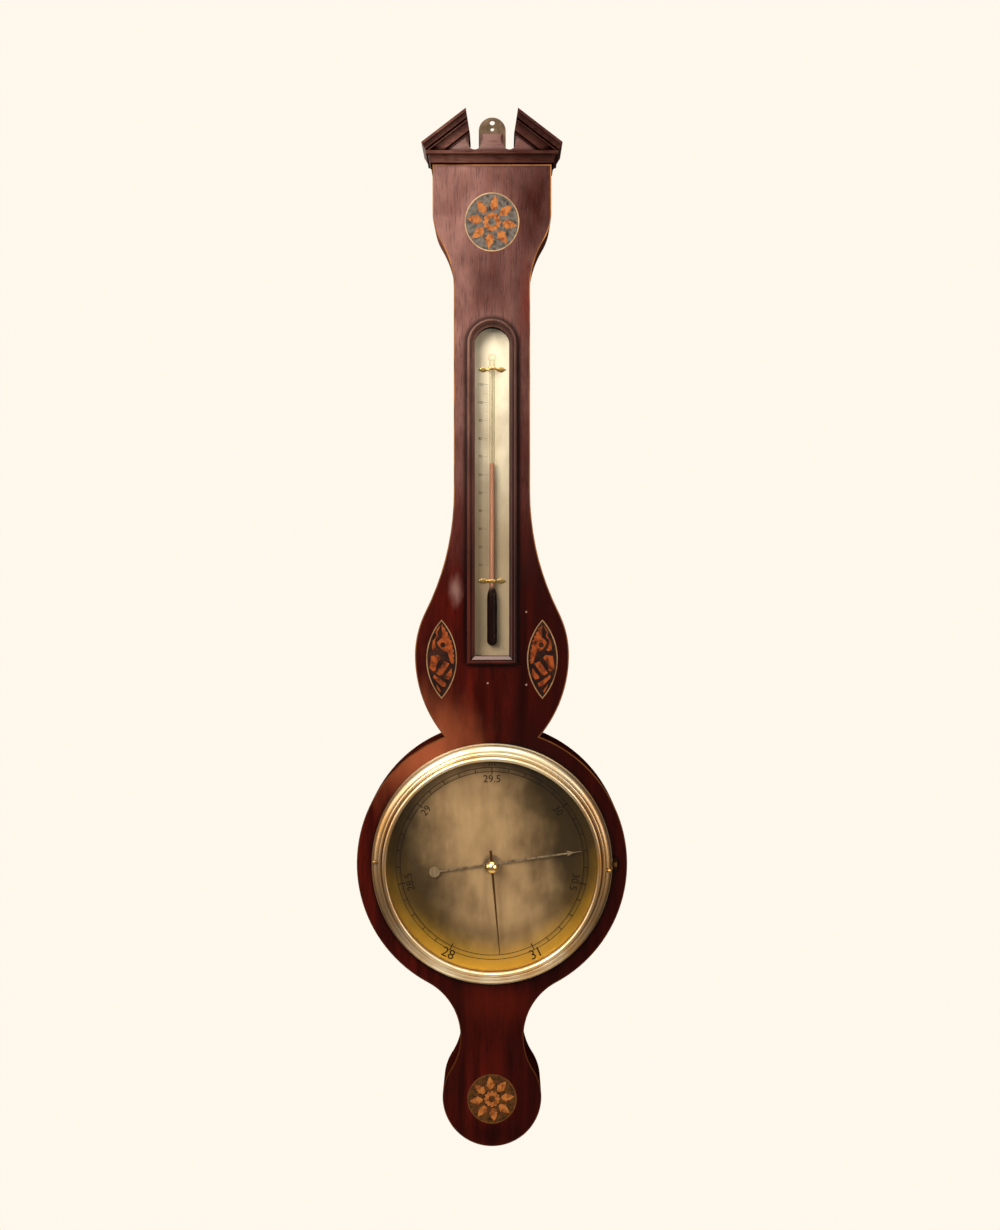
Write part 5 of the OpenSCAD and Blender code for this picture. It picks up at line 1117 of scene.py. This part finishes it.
for name, carried in (("mercury_short", "float"), ("mercury_long", "counterweight")):
    low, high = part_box(name)
    _, foot, top = middle_of(name)
    radius = (high[0] - low[0]) / 2
    straight = top.z - DOME - foot.z
    rings = [(radius, foot.z + straight * k / COLUMN_RINGS) for k in range(COLUMN_RINGS)]
    column = turned_piece(name + "_column", foot, rings + dome(radius, top.z - DOME, DOME), top.z, mercury)
    start = max(foot.z, top.z - STRETCHED)
    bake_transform(column)
    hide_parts(name)
    print(column.name, "height, mm:", round((top - foot).length / MM, 1))

# %% [markdown]
# ## Spirit column
# The thermometer's stem works as a lens: its fine thread of spirit looks almost as wide as the glass, and
# the bulb looks full to its edge. Below the stem the bulb swells by a soft shoulder.

# %% Spirit column
BULB_SHOULDER = BULB_TOP - 12 * MM
BULB_R, STEM_R = 4.6 * MM, 2.2 * MM
SHOULDER_STEPS = 8
SHOULDER_LEAN = 1.6
_, spirit_foot, spirit_top = middle_of("thermometer_spirit")
rings = dome(BULB_R, spirit_foot.z + BULB_R, -BULB_R)[::-1] + [(BULB_R, BULB_SHOULDER)]
for k in range(1, SHOULDER_STEPS + 1):
    share = k / SHOULDER_STEPS
    swell = 0.5 + 0.5 * math.cos(math.pi * share ** SHOULDER_LEAN)
    rings.append((STEM_R + (BULB_R - STEM_R) * swell, BULB_SHOULDER + (BULB_TOP - BULB_SHOULDER) * share))
rings += dome(STEM_R, spirit_top.z - DOME, DOME)
thread_of_spirit = turned_piece("spirit_column", spirit_foot, rings, spirit_top.z, spirit)
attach(thread_of_spirit, "case")
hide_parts("thermometer_spirit")
print("spirit, height in mm:", round((spirit_top - spirit_foot).length / MM, 1))

# %% [markdown]
# ## Bow clips
# Two thin brass bows hold the tube to its scale. Each is cut from sheet with two leaf-shaped ends that lie
# flat on the scale, and is bent over the stem. A grid follows the outline and the bend, with a soft crown
# like hammered sheet. The outline gives half heights by the distance from the stem, in millimetres.

# %% Clips
CLIP_HALF = 13 * MM
CLIP_MIDDLE = 3 * MM
CLIP_THICK = 0.5 * MM
CLIP_CROWN = 0.3 * MM
CLIP_ALONG, CLIP_UP = 64, 8
CLIP_OUTLINE = ((0, 1.7), (2.6, 1.5), (4.4, 0.9), (6.4, 2.0), (8.4, 2.6), (10.4, 1.9), (12.2, 0.7),
                (13, 0.12))
STEM_BEND = (2.4 * MM, 4.8 * MM)
clip_low, clip_high = (Vector(corner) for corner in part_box("thermometer_clips"))


def clip_half_height(x):
    """Half the clip's height at a distance from the stem's middle, by the outline's points."""
    x = abs(x) / MM
    for (x0, h0), (x1, h1) in zip(CLIP_OUTLINE, CLIP_OUTLINE[1:]):
        if x <= x1:
            share = 0.5 - 0.5 * math.cos(math.pi * (x - x0) / (x1 - x0))
            return (h0 + (h1 - h0) * share) * MM
    return CLIP_OUTLINE[-1][1] * MM


def clip_back(x):
    """The Y of the clip's back: on the scale at its ends, and over the stem in its middle."""
    over = clip_low.y + CLIP_THICK + CLIP_CROWN
    share = min(max((abs(x) - STEM_BEND[0]) / (STEM_BEND[1] - STEM_BEND[0]), 0), 1)
    return over + (SCALE_FACE_Y - over) * (0.5 - 0.5 * math.cos(math.pi * share))


build = bmesh.new()
levels = [2 * j / CLIP_UP - 1 for j in range(CLIP_UP + 1)]
for clip_z in (clip_low.z + CLIP_MIDDLE, clip_high.z - CLIP_MIDDLE):
    fronts, backs = [], []
    for k in range(CLIP_ALONG + 1):
        x = CLIP_HALF * (2 * k / CLIP_ALONG - 1)
        back_y = clip_back(x)
        heights = [clip_z + clip_half_height(x) * level for level in levels]
        front_ys = [back_y - CLIP_THICK - CLIP_CROWN * (1 - level ** 2) for level in levels]
        backs.append([build.verts.new((DIAL.x + x, back_y, z)) for z in heights])
        fronts.append([build.verts.new((DIAL.x + x, y, z)) for y, z in zip(front_ys, heights)])
    for k in range(CLIP_ALONG):
        for j in range(CLIP_UP):
            front = (fronts[k][j], fronts[k + 1][j], fronts[k + 1][j + 1], fronts[k][j + 1])
            build.faces.new(front).smooth = True
            build.faces.new((backs[k][j], backs[k][j + 1], backs[k + 1][j + 1], backs[k + 1][j]))
        for j in (0, CLIP_UP):
            build.faces.new((fronts[k][j], backs[k][j], backs[k + 1][j], fronts[k + 1][j]))
    for k in (0, CLIP_ALONG):
        for j in range(CLIP_UP):
            build.faces.new((fronts[k][j], fronts[k][j + 1], backs[k][j + 1], backs[k][j]))
bmesh.ops.recalc_face_normals(build, faces=build.faces)
clips = built("bow_clips", build, knob_brass)
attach(clips, "case")
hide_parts("thermometer_clips")
print("clips, faces:", len(clips.data.polygons))

# %% [markdown]
# ## Slip at the foot of the thermometer
# At the foot of the frame a small bevelled slip lies in the hollow and throws light up at the scale. It is
# mitred at both ends. A wedge with six corners is all it needs, and a bevel softens its edges. Each pair of
# corners is given by half its length, its depth and its height over the dial's centre, in millimetres.

# %% Slip
SLIP_CORNERS = ((19.3, -47.6, 190.2), (16.1, -45.2, 193.4), (16.1, -44.6, 190.2))
SLIP_BEVEL = 0.2 * MM
SLIP_FACES = ((0, 1, 3, 2), (2, 3, 5, 4), (1, 0, 4, 5), (0, 2, 4), (1, 5, 3))
corners = []
for half, depth, height in SLIP_CORNERS:
    for side in (-1, 1):
        corners.append((DIAL.x + side * half * MM, depth * MM, DIAL.z + height * MM))
slip_data = bpy.data.meshes.new("frame_slip")
slip_data.from_pydata(corners, [], SLIP_FACES)
slip_data.materials.append(slip_wood)
slip = placed("frame_slip", slip_data)
softened = slip.modifiers.new("softened", "BEVEL")
softened.width = SLIP_BEVEL
softened.segments = 2
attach(slip, "case")
print("slip, length in mm:", 2 * SLIP_CORNERS[0][0])

# %% [markdown]
# ## Studio
# A plain pale floor lies well below, because the case hangs on a wall. The light is soft: a large panel
# high on the left for the shine on the brass, a weak one on the right, one overhead, one far on the left
# like a window, and one for the back. Each has a place and an aim, a size, a power and a tint.

# %% Studio
FLOOR_CENTRE = (0, -0.02, -1.6)
FLOOR_R = 0.9
FLOOR_SIDES = 96
PAPER_MM = (30, 30, 30)
bpy.context.scene.view_settings.view_transform = "Standard"
world = bpy.data.worlds.new("studio")
bpy.context.scene.world = world
world.use_nodes = True
tree = world.node_tree
tree.nodes.clear()
seen = put(tree, "ShaderNodeLightPath", out="Is Camera Ray")
glow = put(tree, "ShaderNodeBackground", {"Color": "#e8e2d8", "Strength": 0.25})
paper = put(tree, "ShaderNodeBackground", {"Color": "#fff8ec", "Strength": 1.0})
both = put(tree, "ShaderNodeMixShader", {0: seen, 1: glow, 2: paper})
put(tree, "ShaderNodeOutputWorld", {"Surface": both})

pale, tree, shader, place = new_finish("pale_floor_paper", Roughness=0.8)
fibres = blotches(tree, place, PAPER_MM)
paper = put(tree, "ShaderNodeMix", {0: fibres, 6: "#c6beb1", 7: "#bfb6a8"}, **COLOUR)
wear(shader, Base_Color=paper)
build = bmesh.new()
bmesh.ops.create_circle(build, cap_ends=True, radius=FLOOR_R, segments=FLOOR_SIDES)
bmesh.ops.translate(build, verts=build.verts, vec=FLOOR_CENTRE)
built("floor", build, pale)

PANELS = {
    "key_panel": ((-0.85, -1.3, 0.3), (0, -0.04, -0.5), 1.0, 40.0, "#fff6e8"),
    "fill_panel": ((1.1, -0.9, -0.4), (0, -0.04, -0.5), 0.9, 13.0, "#fff1e0"),
    "top_panel": ((0.0, -0.55, 0.8), (0, -0.1, -0.4), 1.5, 26.0, "#fffaf2"),
    "window_panel": ((-1.6, -0.3, -0.3), (0, -0.03, -0.55), 0.9, 18.0, "#fdf6ee"),
    "back_panel": ((-0.8, 1.4, 0.3), (0, 0, -0.45), 1.0, 26.0, "#fff6ec"),
}
for name, (spot, aim, size, power, tint) in PANELS.items():
    panel = bpy.data.lights.new(name, "AREA")
    panel.size = size
    panel.energy = power
    panel.color = linear(tint)[:3]
    lamp = placed(name, panel)
    lamp.location = spot
    lamp.rotation_euler = (Vector(aim) - Vector(spot)).to_track_quat("-Z", "Y").to_euler()
print("lights:", list(PANELS))
